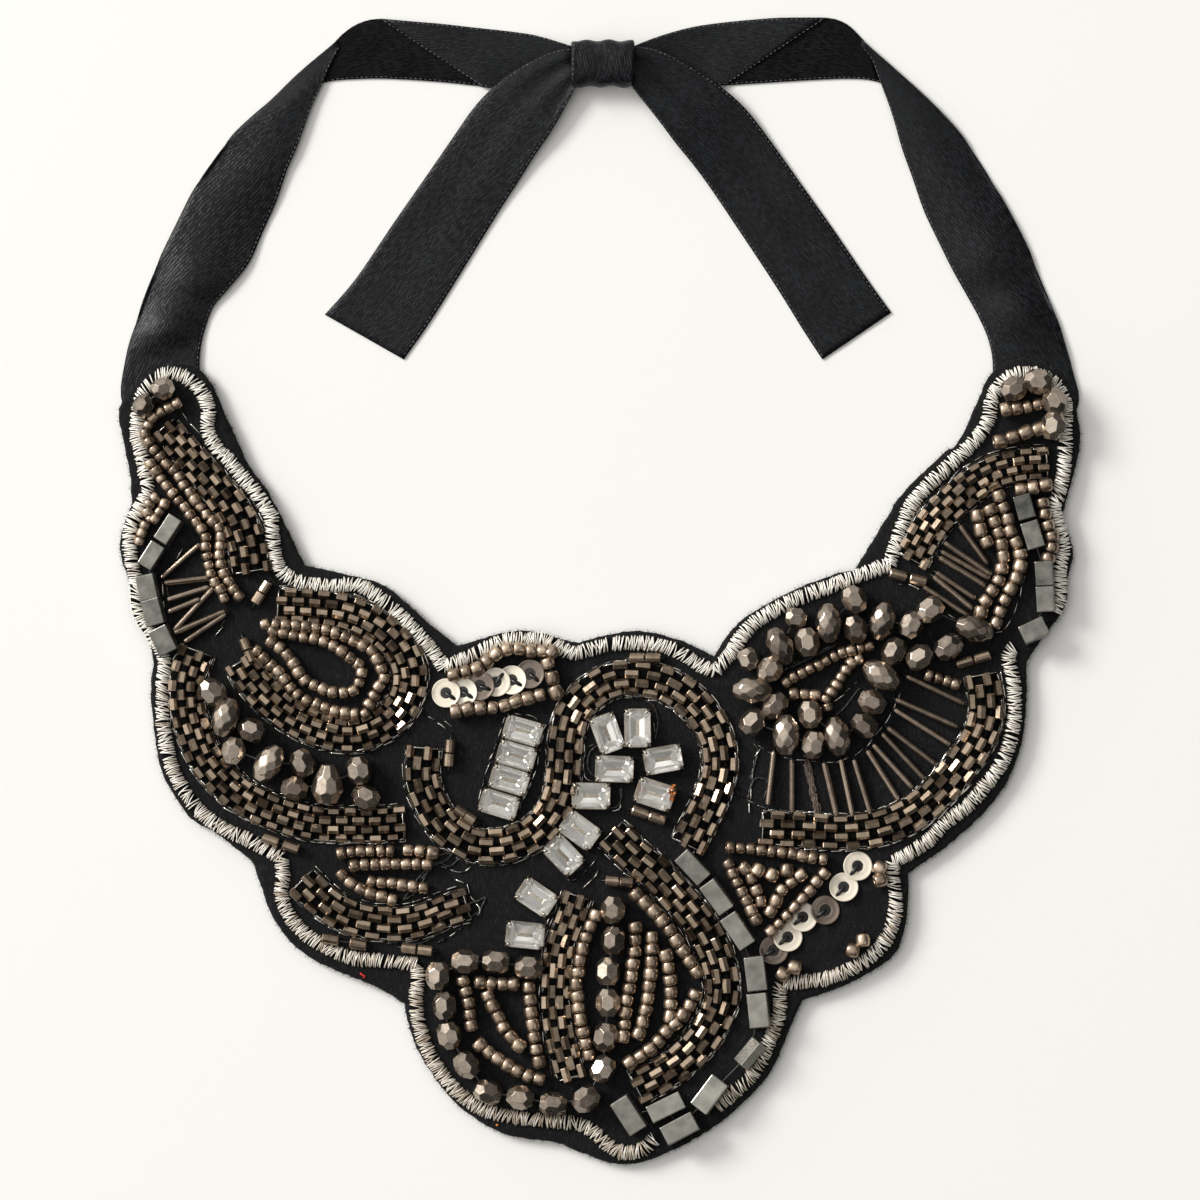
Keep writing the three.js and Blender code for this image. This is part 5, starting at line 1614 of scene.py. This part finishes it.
class Cloth:
    """Strips of ribbon gathered in one mesh, with a selvedge along each edge."""

    def __init__(self):
        self.heap = Heap()
        self.reach = 0.0

    def strip(self, sections, slot=0):
        """Sections are rows of 3-D points across the ribbon."""
        grid = np.array(sections)
        rows, across = grid.shape[:2]
        normal = np.cross(np.gradient(grid, axis=1), np.gradient(grid, axis=0))
        normal /= np.maximum(np.linalg.norm(normal, axis=2), 1e-12)[..., None]
        if normal[..., 2].mean() < 0:
            normal = -normal
        travelled = summed_lengths(grid[:, across // 2])
        self.reach += travelled[-1]
        strip = np.zeros_like(grid)
        strip[..., 0] = np.linspace(-RIBBON_WIDTH / 2, RIBBON_WIDTH / 2, across)
        strip[..., 1] = -travelled[:, None]
        points = np.concatenate((grid + normal * RIBBON_CLOTH, grid)).reshape(-1, 3)
        strips = np.concatenate((strip, strip)).reshape(-1, 3)
        faces = cloth_faces(rows, across)
        if np.cross(grid[0, 1] - grid[0, 0], grid[1, 0] - grid[0, 0])[2] < 0:
            faces = [tuple(reversed(corners)) for corners in faces]
        self.heap.add(Shape(points, faces), slot=slot, strip=strips)

    def edge_stitches(self, edge, slot):
        """The selvedge's short lighter floats along an edge given as 3-D points."""
        edge = np.array(edge)
        lengths = summed_lengths(edge)
        for distance in np.arange(0, lengths[-1] - 0.8 * MM, 1.05 * MM):
            points = []
            for share in (0, 0.5, 1):
                where = distance + share * 0.62 * MM
                point = np.array([np.interp(where, lengths, edge[:, axis]) for axis in range(3)])
                point[2] += RIBBON_CLOTH + 0.02 * MM * (1 - abs(2 * share - 1))
                points.append(point)
            self.heap.add(tube(points, 0.10 * MM, 4), slot=slot, tone=RNG.uniform(0.1, 1))


def inset(sections, edge):
    """A line just inside one edge: 0 is the first edge, -1 the other."""
    near = 1 if edge == 0 else -2
    return [0.6 * np.array(section[edge]) + 0.4 * np.array(section[near]) for section in sections]


def across_ribbon(first, second, lift):
    """Points from one edge to the other, each as high as lift says at its share of the width."""
    return [
        (*(first + (second - first) * share), max(0, lift(share)) + CLEAR)
        for share in np.linspace(0, 1, ACROSS)
    ]


def strap_sections(rows, wave):
    """The strap arched over the floor, with its outer edge turned under where it starts to fold."""
    sections = []
    for index, row in enumerate(smooth_rows(rows)):
        outer, inner, arch, layer = row[:2], row[2:4], row[4] * MM, max(0.42, row[5]) * LAYER
        wide = np.linalg.norm(inner - outer)
        hidden = max(0.1 * MM, RIBBON_WIDTH * 0.93 - wide)
        under = min(hidden * min(1, layer / LAYER), wide * 0.8)
        swell = max(0, arch)

        def lift(share):
            ripple = wave * math.sin(share * 5 + index * 0.35) * min(1, swell / MM)
            return layer + swell * math.sin(math.pi * share) ** 1.2 + ripple

        top = across_ribbon(inner, outer, lift)
        away = (outer - inner) / max(wide, 1e-9)
        for angle in np.linspace(0.35, 1, 3):
            bend = math.pi * angle
            place = outer + away * 0.35 * layer * math.sin(bend)
            top.append((*place, UNDER_FOLD + (layer - UNDER_FOLD) * 0.5 * (1 + math.cos(bend))))
        for share in (0.35, 0.7, 1):
            top.append((*(outer - away * under * share), UNDER_FOLD))
        sections.append(top)
    return sections


def level_sections(rows, arch=0.0):
    """A stretch that runs level to the knot, rippled by arch."""
    sections = []
    for index, row in enumerate(smooth_rows(rows)):

        def lift(share):
            return row[4] * LAYER + arch * math.sin(math.pi * share * 2 + index * 0.5)

        sections.append(across_ribbon(row[:2], row[2:4], lift))
    return sections


def ribbon_strap(name, rows, corner, turned):
    """The strap, its turned corner and the level run to the knot, one ribbon in three lays."""
    cloth = Cloth()
    strap = strap_sections(rows, 0.25 * MM)
    cloth.strip(strap, 0)
    cloth.edge_stitches(inset(strap, 0), 2)
    dull = level_sections(corner)
    cloth.strip(dull, 1)
    cloth.edge_stitches(inset(dull, -1), 2)
    run = level_sections(turned, 0.12 * MM)
    cloth.strip(run, 0)
    cloth.edge_stitches(inset(run, 0), 2)
    cloth.edge_stitches(run[0], 2)
    cloth.edge_stitches(inset(run, -1), 2)
    piece = finish_piece(cloth.heap, name + "_satin", [SATIN, SATIN_BACK, SELVEDGE], "satin", name)
    return piece, cloth


def ribbon_tail(name, rows):
    """A free end, gathered into folds where it leaves the knot."""
    cloth = Cloth()
    sections = []
    for row in smooth_rows(rows):
        gather = max(0.0, 1 - np.linalg.norm(row[2:4] - row[:2]) / RIBBON_WIDTH)

        def lift(share):
            fold = gather * TAIL_FOLD * math.sin(math.pi * share * 2.2 + 0.3) ** 2
            return max(0, row[4] * LAYER) + fold

        sections.append(across_ribbon(row[:2], row[2:4], lift))
    cloth.strip(sections, 0)
    cloth.edge_stitches(inset(sections, 0), 1)
    cloth.edge_stitches(inset(sections, -1), 1)
    piece = finish_piece(cloth.heap, name + "_satin", [SATIN, SELVEDGE], "satin", name)
    return piece, cloth


KNOT_RINGS, KNOT_SIDES = 44, 56


def bow_knot():
    """The tight turn of ribbon over the crossing ends: flat ends, gathered round its girth."""
    low, high = (np.array(corner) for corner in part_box("bow_knot"))
    middle, half = 0.5 * (low + high), 0.5 * (high - low)
    points, strips = [], []
    for ring in range(KNOT_RINGS):
        share = ring / (KNOT_RINGS - 1) * 2 - 1
        girth = 0.94 if ring in (0, KNOT_RINGS - 1) else 1.0
        for step in range(KNOT_SIDES):
            angle = 2 * math.pi * step / KNOT_SIDES
            gather = 0.030 * math.sin(share * 6.5 + 1.3 * math.sin(angle)) * math.sin(angle * 3 + share)
            edge = 0.035 * math.sin(share * 9 + (0 if math.cos(angle) > 0 else 2))
            y = math.copysign(abs(math.cos(angle)) ** 0.75, math.cos(angle)) * (1 + gather + edge)
            z = math.copysign(abs(math.sin(angle)) ** 0.85, math.sin(angle)) * (1 + gather)
            x = share * half[0] + 0.18 * MM * math.sin(angle * 2)
            where = (middle[0] + x, middle[1] + y * half[1] * girth, middle[2] + z * half[2] * girth)
            points.append((where[0], where[1], max(where[2], low[2] + 0.02 * MM)))
            strips.append((x, angle * half[1], 0))
    cloth = Cloth()
    cloth.heap.add(Shape(points, ring_faces(KNOT_RINGS, KNOT_SIDES)), strip=strips)
    upper = points[KNOT_SIDES + 4:KNOT_SIDES + KNOT_SIDES // 2 - 3]
    top = [np.array(point) + (0.12 * MM, 0, 0) for point in upper]
    cloth.edge_stitches(top, 1)
    return finish_piece(cloth.heap, "knot_satin", [SATIN, SELVEDGE], "satin", "bow_knot")


def ribbon():
    """The two straps, the two tails and the knot."""
    straps = (
        ribbon_strap("strap_left", STRAP_LEFT, CORNER_LEFT, TURNED_LEFT),
        ribbon_strap("strap_right", STRAP_RIGHT, CORNER_RIGHT, TURNED_RIGHT),
    )
    tails = (ribbon_tail("tail_left", TAIL_LEFT), ribbon_tail("tail_right", TAIL_RIGHT))
    bow_knot()


# The stage: the lamps by name, place and power, and where the room is brightest
LAMPS = (("key", (-2.4, 1.38, 1.5), 91.0), ("fill", (0.9, -0.4, 1.4), 2.0))
LAMP_SIZE = 1.2
KEY_SIDE = (-0.72, 0.38, 0.58)
FLOOR_SIZE = 6
FLOOR_GAP = 0.02 * MM


def stage():
    """The pale floor, the room and its two lamps."""
    bpy.ops.mesh.primitive_plane_add(size=FLOOR_SIZE, location=(0, 0, WHOLE_LOW.z - FLOOR_GAP))
    floor = bpy.context.object
    floor.name = "floor"
    paper = Finish("paper", (0.878, 0.873, 0.858), 0.85, specular=0.1)
    paper.bump(paper.noise(240.0, 3), 0.05 * MM, 0.15)
    floor.data.materials.append(paper.material)
    studio_world()
    for name, place, power in LAMPS:
        light = bpy.data.lights.new(name, "AREA")
        light.shape = "RECTANGLE"
        light.size = LAMP_SIZE
        light.size_y = LAMP_SIZE * 0.7
        light.energy = power
        light.color = (1.0, 0.985, 0.96)
        lamp = bpy.data.objects.new(name, light)
        lamp.location = place
        lamp.rotation_euler = (-Vector(place)).to_track_quat("-Z", "Y").to_euler()
        bpy.context.scene.collection.objects.link(lamp)
    bpy.context.scene.view_settings.view_transform = "Standard"


def studio_world():
    """A pale room, brightest towards the window on the left and darker low down on the right."""
    world = bpy.data.worlds.new("studio")
    bpy.context.scene.world = world
    world.use_nodes = True
    nodes, links = world.node_tree.nodes, world.node_tree.links
    where = nodes.new("ShaderNodeTexCoord")
    towards = add_node(nodes, "ShaderNodeVectorMath", {"operation": "DOT_PRODUCT"})
    towards.inputs[1].default_value = KEY_SIDE
    links.new(where.outputs["Generated"], towards.inputs[0])
    limits = {"From Min": 0.1, "From Max": 1.0, "To Min": 0.05, "To Max": 1.42}
    bright = add_node(nodes, "ShaderNodeMapRange", {"interpolation_type": "SMOOTHSTEP", **limits})
    links.new(towards.outputs["Value"], bright.inputs["Value"])
    background = nodes["Background"]
    background.inputs["Color"].default_value = (1.0, 0.985, 0.955, 1)
    links.new(bright.outputs["Result"], background.inputs["Strength"])


CAMERA_HEIGHT = 1.25
FOCUS_HEIGHT = 4 * MM


def camera():
    """Straight down, as the photograph looks, from far enough to be nearly flat."""
    view = bpy.data.cameras.new("camera")
    view.lens = view.sensor_width * (CAMERA_HEIGHT - FOCUS_HEIGHT) / (PHOTO_SIDE * SQUARE_X)
    view.clip_end = 20
    eye = bpy.data.objects.new("camera", view)
    eye.location = (*at(PHOTO_SIDE / 2, PHOTO_SIDE / 2), CAMERA_HEIGHT)
    bpy.context.scene.collection.objects.link(eye)
    bpy.context.scene.camera = eye


camera()
stage()
felt_panel()
felt_fuzz()
stitched_border("border_main", BORDER_MAIN)
stitched_border("border_right", BORDER_RIGHT)
for band, (first_width, last_width, route_places) in BANDS.items():
    woven_band(band, first_width, last_width, route_places)
crystals()
stone_stain()
for string, block_rows in BLOCK_STRINGS.items():
    block_string(string, block_rows)
for string, bead_rows in BEAD_STRINGS.items():
    bead_string(string, bead_rows)
for row_name, discs in SEQUINS.items():
    sequin_row(row_name, discs)
for fan, bugles in BUGLES.items():
    bugle_fan(fan, bugles)
bare_thread()
for rows_name, seed_places in SEED_ROWS.items():
    seed_rows(rows_name, seed_places)
single_seeds()
short_tubes()
loose_threads()
thread_specks()
couched_threads()
ribbon()
